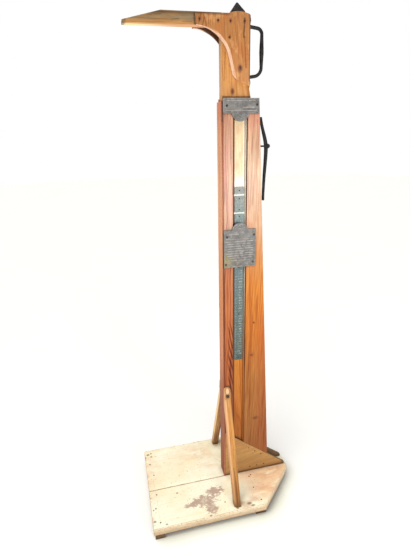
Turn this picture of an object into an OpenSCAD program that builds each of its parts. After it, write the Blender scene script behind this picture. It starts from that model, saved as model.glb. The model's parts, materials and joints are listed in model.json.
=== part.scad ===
// Anthropometer: a standing height gauge of nailed softwood boards.
// A person stands on the platform with the back to the column, and a
// mast that carries the head arm slides up and down inside the column.
// Millimetres, +Z up. The person stands on the -X side, +X is the back.
// The origin is on the floor, under the middle of the column's foot batten.

/* [Platform] */
// Platform in front of the column's front face
platform_front = 306; // [200:1:400]
// Platform behind the column's front face
platform_rear = 265; // [262:1:320]
// Half of the platform's width
platform_half_w = 190; // [185:1:260]
// Size of the two sawn-off rear corners
rear_corner_cut = 148; // [60:1:150]
// Thickness of the two platform planks
plank_t = 30; // [18:1:45]
// Distance of the planks' joint from the middle, on the near side
seam_offset = 26; // [10:1:36]
// Open joint between the planks
seam_gap = 1.5; // [0.5:0.1:4]
// Thickness of the two cross battens
batten_t = 22; // [15:1:45]
// Width of the front batten
front_batten_w = 36; // [26:1:60]
// Front batten set back from the platform's front edge
front_batten_inset = 5; // [0:1:40]
// Front batten's ends set in from the platform's sides
front_batten_end = 2; // [0:1:30]
// Width of the rear batten, under the column
rear_batten_w = 40; // [30:1:44]
// Rear batten's middle behind the column's front face
rear_batten_x = 100; // [85:1:104]
// Rear batten's ends set in from the platform's sides
rear_batten_end = 9; // [6:1:30]

/* [Column] */
// Thickness of the column from side to side
column_d = 52; // [46:1:70]
// Thickness of the side boards
side_t = 10; // [8:0.5:12]
// Thickness of the front board
front_board_t = 5; // [4:0.5:8]
// Height of the front board above the platform
column_h = 1400; // [1250:1:1500]
// Side boards standing above the front board
side_rise = 8; // [0:1:20]
// Near edge of the reading slot, from the column's front face
slot_start = 35.5; // [30:0.5:38]
// Width of the reading slot
slot_w = 42.5; // [40:0.5:46]
// Depth of the column at its top, front to back
back_top = 118; // [112:1:130]
// Depth of the column at the platform, front to back
back_foot = 186.5; // [184:0.5:200]
// Height of the stop block at the bottom of the column
foot_block_h = 50; // [20:1:70]
// Flat running gap between the mast and the column
mast_gap = 0.5; // [0.3:0.1:1]

/* [Gussets] */
// Height of the gussets at the front
gusset_h = 212; // [180:1:300]
// Length of the gussets behind the column's front face
gusset_end = 260; // [235:1:262]
// Height of the gussets' blunt end
gusset_nose = 8; // [4:1:20]
// Nails in each of the two rows of a gusset
gusset_nail_count = 3; // [2:1:3]
// Spacing of the nails along the slope
slope_nail_pitch = 26; // [20:1:28]
// Nails below the slope
slope_nail_drop = 17; // [12:1:24]
// Spacing of the nails along the foot
foot_nail_pitch = 30; // [20:1:32]
// Height of the nails along the foot
foot_nail_z = 21; // [12:1:30]

/* [Braces] */
// Width of the braces, front to back
brace_w = 24; // [16:0.5:30]
// Thickness of the braces
brace_t = 25; // [16:0.5:28]
// Braces set back from the column's front face
brace_inset = 0; // [0:0.5:4]
// Braces' feet set forward of their heads
brace_forward = 3; // [0:0.5:6]
// Chamfer along the braces' front outer edges
brace_chamfer = 6; // [2:0.5:8]
// Outer edge of a brace's foot from the column's side
brace_reach = 153; // [120:0.5:160]
// Lean of the braces from upright
brace_lean = 20; // [16:0.5:24]
// Thickness left at the braces' bevelled heads
brace_head_t = 8; // [6:0.5:12]
// Length of the bevelled head above the contact's start
brace_head_len = 76; // [62:1:86]
// Height of the screw above the contact's start
brace_screw_rise = 42; // [32:1:48]
// Head diameter of the brace screws
brace_screw_head = 9; // [7:0.5:12]

/* [Plates] */
// Thickness of the two cast plates
plate_t = 2.5; // [1.5:0.1:4]
// Front edge of the plates behind the column's front face
plate_inset = 4.5; // [1:0.5:10]
// Rear edge of the upper plate
upper_plate_end = 117; // [112:0.5:117]
// Height of the upper plate's straight part
upper_plate_h = 42; // [36:1:60]
// Rear edge of the lower plate
lower_plate_end = 113.5; // [105:0.5:125]
// Height of the lower plate's straight part
lower_plate_h = 127; // [100:1:160]
// Lower edge of the lower plate above the platform
lower_plate_z = 888; // [780:1:930]
// Radius of the round lobe on each plate
lobe_r = 28; // [24:0.5:34]
// How far the lobes stand out from the straight edges
lobe_rise = 22.5; // [16:0.5:26]
// Shank diameter of the plate screws
plate_screw_d = 3.2; // [2.5:0.1:4]
// Head diameter of the plate screws
plate_screw_head = 7; // [5.5:0.5:8]
// Wood left behind the points of the plate screws
plate_screw_rest = 1.5; // [0.5:0.1:3]

/* [Mast] */
// Width of the mast inside the column
mast_w = 90; // [86:0.5:92]
// Width of the mast above the brackets' lower ends
mast_neck_w = 83; // [76:0.5:84]
// How far the mast is raised above its lowest position, as stored
rest_lift = 30.5; // [10:0.5:80]
// Gap left between the brackets and the column at the lowest position
stop_gap = 1.4; // [1:0.1:5]
// Gap left under the mast at its lowest position
foot_gap = 17; // [5:1:60]
// Height of the arm at the mast
arm_h = 31.5; // [28:0.5:45]
// Reach of the arm in front of the column's front face
arm_reach = 266.5; // [220:0.5:300]
// Length of the arm's sloping tip
arm_taper = 103.5; // [60:0.5:140]
// Height of the arm's blunt end
arm_tip_h = 6; // [4:0.5:12]
// Length of the widening shoulder at the back of the mast
shoulder_len = 33; // [20:1:60]

/* [Brackets] */
// Reach of the side brackets in front of the column's front face
cheek_reach = 70; // [50:1:90]
// Radius of the brackets' long hollow curve
curve_r = 100; // [92:1:108]
// Curve's centre in front of the brackets' front edge
curve_lead = 2; // [0:0.5:6]
// Top of the curve below the arm's lower side
curve_drop = 1; // [0:0.5:10]
// Steepest angle of the curve
curve_end = 76; // [70:0.5:78]
// Length of the straight stretch below the curve
straight_len = 44; // [36:1:48]
// Radius of the reversed curve at the lower end
toe_r = 24; // [16:1:28]
// Slope of the brackets' lower edge
toe_slope = 24; // [16:0.5:28]
// Width of the chamfer at the front end of the curve
curve_chamfer_front = 1; // [0.5:0.5:4]
// Width of the chamfer along the straight stretch
curve_chamfer = 6.5; // [4:0.5:9]
// Depth of the chamfer along the curve
curve_chamfer_d = 7; // [4:0.5:9]
// Chamfer of the brackets' back edges
back_chamfer = 5; // [2:0.5:6]
// Top edge of the brackets below the arm's upper side
cheek_top_drop = 6.5; // [2:0.5:10]
// Rise of that top edge towards the mast
cheek_top_rise = 1.5; // [0:0.5:5]
// Rise of the low dome at the mast
dome_rise = 7; // [4:0.5:10]
// Front end of the dome behind the column's front face
dome_start = 18; // [5:1:30]

/* [Handle and cap] */
// Distance between the handle's two legs
handle_span = 131; // [116:1:136]
// Upper leg above the arm's lower side
handle_rise = 4; // [0:1:7]
// Middle of the grip behind the mast
handle_reach = 42; // [38:0.5:55]
// Slant of the legs towards each other
handle_slant = 8; // [0:1:12]
// Thickness of the handle's legs
handle_d = 7; // [6:0.5:9]
// Thickness in the middle of the grip
grip_d = 10.5; // [8:0.5:14]
// Radius of the handle's upper corner
handle_bend_r = 16; // [9:0.5:20]
// Radius of the handle's lower corner
handle_low_bend_r = 24; // [9:0.5:26]
// Thickness of the two leaf-shaped feet
leaf_t = 4.5; // [2:0.5:5]
// Radius of the feet's round part
leaf_r = 9; // [7:0.5:11]
// Length of the feet's point beyond their middle
leaf_point = 15; // [12:0.5:17]
// Middle of the feet from the leg
leaf_offset = 14.5; // [13:0.5:17]
// Length of the cap's base, front to back
cap_l = 39; // [34:1:54]
// Cap's base set in from the mast's sides
cap_inset = 0.5; // [0.3:0.1:4]
// Height of the cap's upright edge
cap_edge_h = 6; // [2:0.5:8]
// Height of the pointed cap
cap_h = 30; // [24:0.5:40]
// Cap's middle behind the column's front face
cap_x = 55; // [50:1:60]
// Diameter of the spike under the cap
cap_spike_d = 6; // [4:0.5:8]
// Length of the spike under the cap
cap_spike_len = 25; // [15:1:35]

/* [Scale strips] */
// Width of the scale strips
scale_w = 32; // [24:0.5:34]
// Thickness of the scale strips
scale_t = 1; // [0.6:0.1:1.5]
// Front edge of the strips from the slot's edge
scale_inset = 8.5; // [6:0.5:9]
// Top of the uppermost strip below the arm's lower side
scale_drop = 441.5; // [425:0.5:470]
// Length of the uppermost strip
scale_top_len = 24.5; // [20:0.5:40]
// Length of the middle strip
scale_middle_len = 53.5; // [40:0.5:80]
// Length of the long strip
scale_main_len = 540; // [450:1:580]
// Gap between the strips
scale_gap = 4; // [2:0.5:10]
// Corner radius of the strips
scale_corner_r = 5; // [2:0.5:9]

/* [Lock lever] */
// Pivot below the top of the side boards
pivot_drop = 137; // [130:1:200]
// Pivot behind the column's back edge
pivot_out = 31.4; // [28:0.1:38]
// Diameter of the pivot pin
pivot_d = 4; // [3:0.1:5]
// Radial clearance of the pin in its holes
pivot_play = 0.05; // [0.02:0.01:0.1]
// Radius of the bracket's round ears
ear_r = 7; // [6:0.5:9]
// Thickness of the bracket's ears
ear_t = 3; // [2:0.5:5]
// Side gap between the lever and an ear
ear_gap = 0.3; // [0.2:0.1:0.6]
// Width of the lever, side to side
lever_w = 8; // [6:0.5:10]
// Thickness of the lever at its bend
lever_t = 9.5; // [7:0.5:11]
// Thickness of the lever at its ends
lever_tip_t = 5; // [3.5:0.5:6]
// Length of the lever above the pivot
lever_up = 81; // [65:1:85]
// Length of the lever below the pivot
lever_down = 169; // [130:1:178]
// Height of the claw that grips the mast
claw_h = 7; // [5:0.5:8]
// Gap between the claw and the mast
claw_gap = 0.3; // [0.2:0.1:0.5]
// Room round the claw in the spine's mortise
mortise_gap = 0.5; // [0.4:0.1:1.5]
// Rise of the claw as the lever is pressed
claw_rise = 4; // [3.5:0.5:6]
// Diameter of the bracket's stem
stem_d = 5; // [4:0.5:6]
// Length of the stem in the spine
stem_len = 18; // [10:1:22]

/* [Nails] */
// Diameter of the nails' shanks
nail_d = 2.4; // [1.8:0.1:3]
// Diameter of the nails' heads
nail_head = 5; // [4:0.5:7]
// Thickness of the nails' heads
nail_head_t = 0.8; // [0.5:0.1:1.5]
// Depth that a nail reaches into the second board
nail_bite = 12; // [9:0.5:13]
// Clearance round a shank in its hole
shank_play = 0.05; // [0.02:0.01:0.1]
// Platform nails from the platform's sides
platform_nail_inset = 22; // [18:1:30]
// Spacing of the platform nails
platform_nail_pitch = 60; // [50:1:62]

/* [Hidden] */

pine = [0.80, 0.48, 0.26];
red_pine = [0.78, 0.45, 0.30];
pale_wood = [0.93, 0.73, 0.45];
painted_wood = [0.96, 0.93, 0.80];
grey_wood = [0.60, 0.48, 0.36];
iron = [0.17, 0.17, 0.17];
zinc = [0.57, 0.56, 0.54];
scale_grey = [0.55, 0.62, 0.60];

// Small overlap of cutting shapes past a face
cut = 1;
half_d = column_d / 2;
deck_z = plank_t + batten_t;
side_h = column_h + side_rise;
core_w = column_d - 2 * side_t;
slot_end = slot_start + slot_w;

// Mast and brackets, in the column's own frame
mast_x0 = front_board_t + mast_gap;
mast_x1 = mast_x0 + mast_w;
neck_x1 = mast_x0 + mast_neck_w;
mast_t = core_w - 2 * mast_gap;
cheek_t = half_d - mast_t / 2;
spine_x0 = mast_x1 + mast_gap;
plate_screw_len = side_t - plate_screw_rest;

// Hollow curve, straight and reversed toe of the brackets, below the arm
curve_cx = -cheek_reach - curve_lead;
low_line = arc_point(curve_cx, -curve_drop - curve_r, curve_r, curve_end);
low_toe = [low_line.x + straight_len * cos(curve_end), low_line.y - straight_len * sin(curve_end)];
toe_cx = low_toe.x + toe_r * sin(curve_end);
low_end = arc_point(toe_cx, low_toe.y + toe_r * cos(curve_end), -toe_r, toe_slope);
cheek_drop = -low_end.y + (neck_x1 - low_end.x) * tan(toe_slope);

// Stored height of the arm: brackets down on the column, then lifted
cheek_low = side_h + stop_gap + rest_lift;
arm_height = cheek_low + round(10 * cheek_drop) / 10;
arm_top = arm_height + arm_h;
mast_bottom = foot_block_h + foot_gap + rest_lift;
curve_cz = arm_height - curve_drop - curve_r;
line_p = [low_line.x, low_line.y + arm_height];
toe_p = [low_toe.x, low_toe.y + arm_height];
toe_cz = toe_p.y + toe_r * cos(curve_end);
toe_end = [low_end.x, low_end.y + arm_height];
toe_runout = 22;

// Top edge of the brackets
cheek_top = arm_top - cheek_top_drop;
dome_z = cheek_top + cheek_top_rise;
dome_chord = neck_x1 - dome_start;
dome_r = (pow(dome_chord / 2, 2) + pow(dome_rise, 2)) / (2 * dome_rise);

// Braces, as distances out from the column's side
contact_z = (brace_reach - brace_t / cos(brace_lean)) / tan(brace_lean);
brace_top = contact_z + brace_head_len;
brace_screw_z = contact_z + brace_screw_rise;
bevel_z = brace_top - 45;

// Lever and its bracket
pivot_z = side_h - pivot_drop;
pivot_x = back_x(pivot_z) + pivot_out;
pivot_hole_r = pivot_d / 2 + pivot_play;
bend_x = pivot_x - 4;
claw_z = pivot_z + lever_up;
claw_tip_x = mast_x1 + claw_gap;
lever_steps = 12;
yoke_x0 = back_x(pivot_z) + 11.5;
yoke_x1 = yoke_x0 + 4;
ear_y = lever_w / 2 + ear_gap;
pin_head_t = 1.5;

// Plates
upper_plate_z = side_h - upper_plate_h;
lower_plate_top = lower_plate_z + lower_plate_h;
plate_mid_x = (slot_start + slot_end) / 2 + 2;
lobe_inset = lobe_r - lobe_rise;

// Handle feet and the nails through them
leg_top_z = arm_height + handle_rise;
leg_low_z = leg_top_z - handle_span;
leaf_x = neck_x1 + leaf_t;
grip_x = neck_x1 + handle_reach;
handle_nail_d = 3;
handle_nail_head = 8;
handle_nail_len = 22;
neck_low = min(cheek_low, leg_low_z - leaf_offset - leaf_point) - 0.5;
cap_w = mast_t - 2 * cap_inset;
hole_rest = 0.3;

// Scale strips, from the top down
scale_x = slot_start + scale_inset;
scale_top_z = arm_height - scale_drop - scale_top_len;
scale_middle_z = scale_top_z - scale_gap - scale_middle_len;
scale_main_z = scale_middle_z - scale_gap - scale_main_len;
tack_d = 1.4;
tack_head = 4.5;
tack_len = 8;
tack_inset = 9;
main_tack_count = 4;

// Nail rows
nail_rows = [0:2];
gusset_nail_steps = [0:gusset_nail_count - 1];
gusset_nail_x = spine_x0 + 7;
cheek_nail_spots = [
    [-cheek_reach + 11, cheek_top - 13],
    [-7, cheek_top - 15],
    [mast_x0 + 23, cheek_top - 15],
    [neck_x1 - 19, cheek_top - 14],
    [mast_x0 + 20, arm_height - 30]
];

// Back edge of the tapered column at a height above the platform
function back_x(z) = back_foot + (back_top - back_foot) * z / side_h;

// Upper edge of the gussets at a distance behind the column's front face
function slope_z(x) =
    gusset_h + (gusset_nose - gusset_h) * (x - front_board_t) / (gusset_end - front_board_t);

// Point of an arc whose tangent falls at angle a
function arc_point(cx, cz, r, a) = [cx + r * sin(a), cz + r * cos(a)];

// Point of a cubic curve with four control points
function bezier(p, t) =
    pow(1 - t, 3) * p[0] + 3 * t * pow(1 - t, 2) * p[1] + 3 * t * t * (1 - t) * p[2] + pow(t, 3) * p[3];

// Unit normal of a chain of points at one of them
function chain_normal(p, i) =
    let (d = p[min(i + 1, len(p) - 1)] - p[max(i - 1, 0)])
    [-d.y, d.x] / norm(d);

// Moves from the column's own frame to the part's frame
module on_deck() {
    translate([-rear_batten_x, 0, deck_z]) children();
}

// Extrudes an X-Z outline between two values of Y
module slab(y0, y1) {
    translate([0, y1, 0]) rotate([90, 0, 0]) linear_extrude(y1 - y0) children();
}

// A child on the near side, or mirrored to the far side
module on_side(far) {
    mirror([0, far ? 1 : 0, 0]) children();
}

// Nail along -Z with its head on the plane Z = 0, or the hole for it
module nail(d, head, length, grow = 0) {
    if (grow == 0) {
        translate([0, 0, -length]) cylinder(d = d, h = length, $fn = 24);
        cylinder(d = head, h = nail_head_t, $fn = 24);
    }
    if (grow > 0)
        translate([0, 0, -length - hole_rest]) cylinder(d = d + 2 * grow, h = length + hole_rest + cut, $fn = 24);
}

// Same nail pointing inwards from the near side's plane Y = y
module side_nail(x, y, z, d, head, length, grow = 0) {
    translate([x, y, z]) rotate([90, 0, 0]) nail(d, head, length, grow);
}

// Platform

module plank_nails(grow = 0) {
    for (x = [-platform_front + front_batten_inset + front_batten_w / 2, rear_batten_x])
        for (s = [-1, 1])
            for (i = nail_rows)
                translate([
                    x + (i % 2 == 0 ? 5 : -5),
                    s * (platform_half_w - platform_nail_inset - i * platform_nail_pitch),
                    0
                ])
                    nail(nail_d, nail_head, plank_t + nail_bite, grow);
}

module platform_outline() {
    cut_x = platform_rear - rear_corner_cut;
    cut_y = platform_half_w - rear_corner_cut;
    polygon([
        [-platform_front, -platform_half_w], [cut_x, -platform_half_w], [platform_rear, -cut_y],
        [platform_rear, cut_y], [cut_x, platform_half_w], [-platform_front, platform_half_w]
    ]);
}

module plank(y0, y1) {
    difference() {
        translate([0, 0, -plank_t]) linear_extrude(plank_t)
            intersection() {
                platform_outline();
                translate([-platform_front, y0]) square([platform_front + platform_rear, y1 - y0]);
            }
        plank_nails(shank_play);
    }
}

module near_plank() {
    color(painted_wood) on_deck() plank(-platform_half_w, -seam_offset - seam_gap / 2);
}

module far_plank() {
    color(painted_wood) on_deck() plank(-seam_offset + seam_gap / 2, platform_half_w);
}

module batten(x, w, end_gap) {
    half_l = platform_half_w - end_gap;
    difference() {
        translate([x - w / 2, -half_l, -deck_z]) cube([w, 2 * half_l, batten_t]);
        plank_nails(shank_play);
    }
}

module front_batten() {
    color(grey_wood) on_deck()
        batten(-platform_front + front_batten_inset + front_batten_w / 2, front_batten_w, front_batten_end);
}

module rear_batten() {
    color(grey_wood) on_deck() batten(rear_batten_x, rear_batten_w, rear_batten_end);
}

module platform_nails() {
    color(iron) on_deck() plank_nails();
}

// Column

module front_board() {
    color(red_pine) on_deck()
        translate([0, -half_d, 0]) cube([front_board_t, column_d, column_h]);
}

// Side board between two X values, cut along the gussets' slope
module side_board(x0) {
    polygon([
        [x0, slope_z(x0)], [slope_foot_x(), slope_z(slope_foot_x())],
        [back_top, side_h], [x0, side_h]
    ]);
}

// Where the column's back edge meets the slope of the gussets
function slope_foot_x() =
    let (
        k = (gusset_nose - gusset_h) / (gusset_end - front_board_t),
        m = (back_top - back_foot) / side_h
    )
    (back_foot + m * (gusset_h - k * front_board_t)) / (1 - m * k);

module near_front_stile() {
    color(red_pine) on_deck()
        difference() {
            slab(-half_d, -core_w / 2)
                polygon([
                    [front_board_t, slope_z(front_board_t)], [slot_start, slope_z(slot_start)],
                    [slot_start, side_h], [front_board_t, side_h]
                ]);
            plate_screws_at(upper_screw_spots(), shank_play);
            plate_screws_at(lower_screw_spots(), shank_play);
            brace_screw(shank_play);
        }
}

module near_back_stile() {
    color(pine) on_deck()
        difference() {
            slab(-half_d, -core_w / 2) side_board(slot_end);
            plate_screws_at(upper_screw_spots(), shank_play);
            plate_screws_at(lower_screw_spots(), shank_play);
        }
}

module far_side_board() {
    color(pine) on_deck()
        difference() {
            slab(core_w / 2, half_d) side_board(front_board_t);
            on_side(true) brace_screw(shank_play);
        }
}

module spine() {
    color(pine) on_deck()
        difference() {
            slab(-core_w / 2, core_w / 2)
                polygon([[spine_x0, 0], [back_foot, 0], [back_top, side_h], [spine_x0, side_h]]);
            claw_mortise();
            bracket_stem(shank_play);
            gusset_nail_pair(shank_play);
        }
}

// Slot through the spine that the lever's claw reaches through
module claw_mortise() {
    half_w = lever_w / 2 + mortise_gap;
    z0 = claw_z - claw_h / 2 - mortise_gap;
    translate([spine_x0 - cut, -half_w, z0])
        cube([back_foot - spine_x0 + 2 * cut, 2 * half_w, claw_h + claw_rise + 2 * mortise_gap]);
}

module foot_block() {
    color(pine) on_deck()
        translate([front_board_t, -core_w / 2, 0])
            cube([spine_x0 - front_board_t, core_w, foot_block_h]);
}

module gusset_board() {
    slab(-half_d, -core_w / 2)
        polygon([
            [front_board_t, 0], [gusset_end, 0], [gusset_end, gusset_nose],
            [front_board_t, gusset_h]
        ]);
}

module gusset_nail_rows(grow = 0) {
    length = side_t + nail_bite;
    for (i = gusset_nail_steps) {
        slope_x = gusset_nail_x + i * slope_nail_pitch;
        foot_x = gusset_nail_x + 6 + i * foot_nail_pitch;
        side_nail(slope_x, -half_d, slope_z(slope_x) - slope_nail_drop, nail_d, nail_head, length, grow);
        side_nail(foot_x, -half_d, foot_nail_z, nail_d, nail_head, length, grow);
    }
}

module gusset_nail_pair(grow = 0) {
    for (far = [false, true]) on_side(far) gusset_nail_rows(grow);
}

module near_gusset() {
    color(pale_wood) on_deck()
        difference() {
            gusset_board();
            gusset_nail_rows(shank_play);
        }
}

module far_gusset() {
    color(pale_wood) on_deck() on_side(true)
        difference() {
            gusset_board();
            gusset_nail_rows(shank_play);
        }
}

module gusset_nails() {
    color(iron) on_deck() gusset_nail_pair();
}

// Braces

// Outline of a brace seen along X, with Y out from the column's side
module brace_profile() {
    foot_in = brace_reach - brace_t / cos(brace_lean);
    bevel_s = brace_reach - bevel_z * tan(brace_lean);
    polygon([
        [foot_in, 0], [brace_reach, 0], [bevel_s, bevel_z],
        [brace_head_t, brace_top - 9], [brace_head_t - 3, brace_top], [0, brace_top], [0, contact_z]
    ]);
}

// Round-headed strip that the brace is cut from, seen from the side
module brace_front() {
    head_z = brace_top - brace_w / 2;
    translate([brace_inset + brace_w / 2, head_z]) circle(d = brace_w, $fn = 48);
    polygon([
        [brace_inset - brace_forward, 0], [brace_inset - brace_forward + brace_w, 0],
        [brace_inset + brace_w, head_z], [brace_inset, head_z]
    ]);
}

// Wedge that cuts the chamfer along the front outer edge, up to the bevelled head
module brace_chamfer_cut() {
    turn = atan(brace_forward / (brace_top - brace_w / 2) * cos(brace_lean));
    translate([brace_inset - brace_forward, -half_d - brace_reach, 0]) rotate([-brace_lean, turn, 0])
        translate([0, 0, -10])
            linear_extrude(bevel_z / cos(brace_lean) + 10)
                polygon([[-cut, -cut], [brace_chamfer + cut, -cut], [-cut, brace_chamfer + cut]]);
}

module brace() {
    difference() {
        intersection() {
            translate([brace_inset + brace_w + cut, -half_d, 0]) rotate([90, 0, -90])
                linear_extrude(brace_w + brace_forward + 2 * cut) brace_profile();
            slab(-half_d - brace_reach - cut, -half_d + cut) brace_front();
        }
        brace_chamfer_cut();
        brace_screw(shank_play);
    }
}

// Thickness of a brace where its screw goes through
function brace_t_at_screw() =
    let (
        s0 = brace_reach - bevel_z * tan(brace_lean),
        u = (brace_screw_z - bevel_z) / (brace_top - 9 - bevel_z)
    )
    s0 + u * (brace_head_t - s0);

module brace_screw(grow = 0) {
    head_h = 3;
    seat = brace_t_at_screw() - 1;
    translate([brace_inset + brace_w / 2, -half_d - seat, brace_screw_z]) rotate([90, 0, 0]) {
        translate([0, 0, -seat - side_t + 1])
            cylinder(d = 4 + 2 * grow, h = seat + side_t - 1 + cut, $fn = 24);
        cylinder(d = brace_screw_head + 2 * grow, h = head_h + (grow > 0 ? 20 : 0), $fn = 32);
    }
}

module near_brace() {
    color(pale_wood) on_deck() brace();
}

module far_brace() {
    color(pale_wood) on_deck() on_side(true) brace();
}

module brace_screws() {
    color(iron) on_deck()
        for (far = [false, true]) on_side(far) brace_screw();
}

// Plates

// Hand-set screws, measured from each plate's own corners
function upper_screw_spots() = [
    [plate_inset + 12, upper_plate_z + upper_plate_h / 2],
    [upper_plate_end - 7, upper_plate_z + upper_plate_h / 2 + 2.5]
];
function lower_screw_spots() = [
    [plate_inset + 11, lower_plate_top - 22], [lower_plate_end - 5.5, lower_plate_top - 20],
    [plate_inset + 6.5, lower_plate_z + 11], [lower_plate_end - 8.5, lower_plate_z + 14.5]
];

module plate_screws_at(spots, grow = 0) {
    length = plate_screw_len + plate_t;
    for (p = spots)
        side_nail(p.x, -half_d - plate_t, p.y, plate_screw_d, plate_screw_head, length, grow);
}

module upper_plate() {
    color(zinc) on_deck()
        difference() {
            slab(-half_d - plate_t, -half_d) {
                translate([plate_inset, upper_plate_z])
                    square([upper_plate_end - plate_inset, upper_plate_h]);
                translate([plate_mid_x, upper_plate_z + lobe_inset]) circle(r = lobe_r, $fn = 96);
            }
            plate_screws_at(upper_screw_spots(), shank_play);
        }
}

module lower_plate() {
    color(zinc) on_deck()
        difference() {
            slab(-half_d - plate_t, -half_d) {
                translate([plate_inset, lower_plate_z])
                    square([lower_plate_end - plate_inset, lower_plate_h]);
                translate([plate_mid_x, lower_plate_top - lobe_inset]) circle(r = lobe_r, $fn = 96);
            }
            plate_screws_at(lower_screw_spots(), shank_play);
        }
}

module upper_plate_screws() {
    color(iron) on_deck() plate_screws_at(upper_screw_spots());
}

module lower_plate_screws() {
    color(iron) on_deck() plate_screws_at(lower_screw_spots());
}

// Lock lever

module bracket_stem(grow = 0) {
    rest = grow > 0 ? hole_rest : 0;
    translate([back_x(pivot_z) - stem_len - rest, 0, pivot_z]) rotate([0, 90, 0])
        cylinder(d = stem_d + 2 * grow, h = yoke_x0 - back_x(pivot_z) + stem_len + rest, $fn = 32);
}

module lever_bracket() {
    half_yoke = ear_y + ear_t;
    color(iron) on_deck() {
        difference() {
            union() {
                bracket_stem();
                translate([yoke_x0, -half_yoke, pivot_z - stem_d / 2])
                    cube([yoke_x1 - yoke_x0, 2 * half_yoke, stem_d]);
                for (s = [-1, 1])
                    slab(s * (ear_y + ear_t / 2) - ear_t / 2, s * (ear_y + ear_t / 2) + ear_t / 2) {
                        translate([pivot_x, pivot_z]) circle(r = ear_r, $fn = 48);
                        translate([yoke_x0, pivot_z - stem_d / 2]) square([pivot_x - yoke_x0, stem_d]);
                    }
            }
            pivot_axis(pivot_hole_r, half_yoke + cut);
        }
    }
}

module pivot_axis(r, half_l) {
    translate([pivot_x, half_l, pivot_z]) rotate([90, 0, 0]) cylinder(r = r, h = 2 * half_l, $fn = 32);
}

module lever_pin() {
    half_l = ear_y + ear_t;
    color(iron) on_deck() {
        pivot_axis(pivot_d / 2, half_l);
        for (s = [-1, 1])
            translate([pivot_x, s * (half_l + pin_head_t / 2), pivot_z]) rotate([90, 0, 0])
                cylinder(d = pivot_d + 3, h = pin_head_t, center = true, $fn = 32);
    }
}

// Control points of the lever's two arms, from the bend outwards
function upper_arm() = [
    [bend_x, pivot_z], [bend_x - 3, pivot_z + 0.33 * lever_up],
    [bend_x - 15, pivot_z + 0.63 * lever_up], [bend_x - 19, claw_z]
];
function lower_arm() = [
    [bend_x, pivot_z], [bend_x + 2, pivot_z - 0.21 * lever_down],
    [bend_x - 6, pivot_z - 0.54 * lever_down], [bend_x - 5.2, pivot_z - lever_down]
];

// Middle line of the lever from its upper to its lower end
lever_line = concat(
    [for (i = [lever_steps:-1:1]) bezier(upper_arm(), i / lever_steps)],
    [for (i = [0:lever_steps]) bezier(lower_arm(), i / lever_steps)]
);

// Edge of the lever on one side of that line, thickest at the bend
function lever_edge(s) = [
    for (i = [0:len(lever_line) - 1])
        let (t = lever_t + (lever_tip_t - lever_t) * abs(i - lever_steps) / lever_steps)
        lever_line[i] + s * chain_normal(lever_line, i) * t / 2
];

module lever_outline() {
    right = lever_edge(1);
    last = len(right) - 1;
    polygon(concat(lever_edge(-1), [for (i = [last:-1:0]) right[i]]));
}

module lock_lever() {
    color(iron) on_deck()
        difference() {
            slab(-lever_w / 2, lever_w / 2) {
                lever_outline();
                translate([pivot_x, pivot_z]) circle(r = ear_r - 1, $fn = 48);
                translate([claw_tip_x, claw_z - claw_h / 2])
                    square([upper_arm()[3].x + lever_tip_t / 2 - claw_tip_x, claw_h]);
            }
            pivot_axis(pivot_hole_r, ear_y + ear_t);
        }
}

// Mast, arm and brackets

module mast() {
    color(pine) on_deck()
        difference() {
            slab(-mast_t / 2, mast_t / 2)
                polygon([
                    [mast_x0, mast_bottom], [mast_x1, mast_bottom], [mast_x1, neck_low - shoulder_len],
                    [neck_x1, neck_low], [neck_x1, arm_top], [mast_x0, arm_top]
                ]);
            cheek_nail_pair(shank_play);
            handle_nails_at(shank_play);
            cap_spike(shank_play);
            tacks(shank_play);
        }
}

module arm() {
    color(grey_wood) on_deck()
        difference() {
            slab(-mast_t / 2, mast_t / 2)
                polygon([
                    [-arm_reach, arm_height], [mast_x0, arm_height], [mast_x0, arm_top],
                    [-arm_reach + arm_taper, arm_top], [-arm_reach, arm_height + arm_tip_h]
                ]);
            cheek_nail_pair(shank_play);
        }
}

module cheek_profile() {
    toe_c = [toe_cx, toe_cz];
    difference() {
        union() {
            polygon([
                [-cheek_reach, curve_cz + curve_r / 2], [curve_cx, curve_cz], line_p, toe_p, toe_c, toe_end,
                [neck_x1, cheek_low], [neck_x1, dome_z], [dome_start, dome_z], [-cheek_reach, cheek_top]
            ]);
            intersection() {
                translate(toe_c) circle(r = toe_r, $fn = 96);
                polygon([
                    toe_c, toe_c + 1.3 * (toe_p - toe_c),
                    toe_p + toe_end - toe_c, toe_c + 1.3 * (toe_end - toe_c)
                ]);
            }
            intersection() {
                translate([dome_start + dome_chord / 2, dome_z + dome_rise - dome_r])
                    circle(r = dome_r, $fn = 180);
                translate([dome_start, dome_z - cut]) square([dome_chord, dome_rise + 2 * cut]);
            }
        }
        translate([curve_cx, curve_cz]) circle(r = curve_r, $fn = 180);
    }
}

// Cone and wedge that cut the chamfer along the curve and the straight;
// the cone's centre is shifted back, so its chamfer grows from the front end on
module curve_chamfer_cut() {
    slope = curve_chamfer / curve_chamfer_d;
    shift = (curve_chamfer + 0.15 - curve_chamfer_front) / sin(curve_end);
    depth = cheek_t - 1;
    face_r = curve_r + curve_chamfer_front;
    translate([curve_cx + shift, -half_d + depth, curve_cz]) rotate([90, 0, 0])
        cylinder(r1 = face_r - slope * depth, r2 = face_r + slope * cut, h = depth + cut, $fn = 180);
    translate([line_p.x, -half_d, line_p.y]) rotate([0, curve_end + 90, 0])
        linear_extrude(straight_len + toe_runout)
            polygon([
                [cut, -cut], [cut, curve_chamfer_d], [0, curve_chamfer_d],
                [-curve_chamfer * (1 + cut / curve_chamfer_d), -cut]
            ]);
}

module back_chamfer_cut() {
    translate([neck_x1, -half_d, cheek_low - cut])
        linear_extrude(arm_top - cheek_low + 20)
            polygon([[-back_chamfer - cut, -cut], [cut, -cut], [cut, back_chamfer + cut]]);
}

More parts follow.
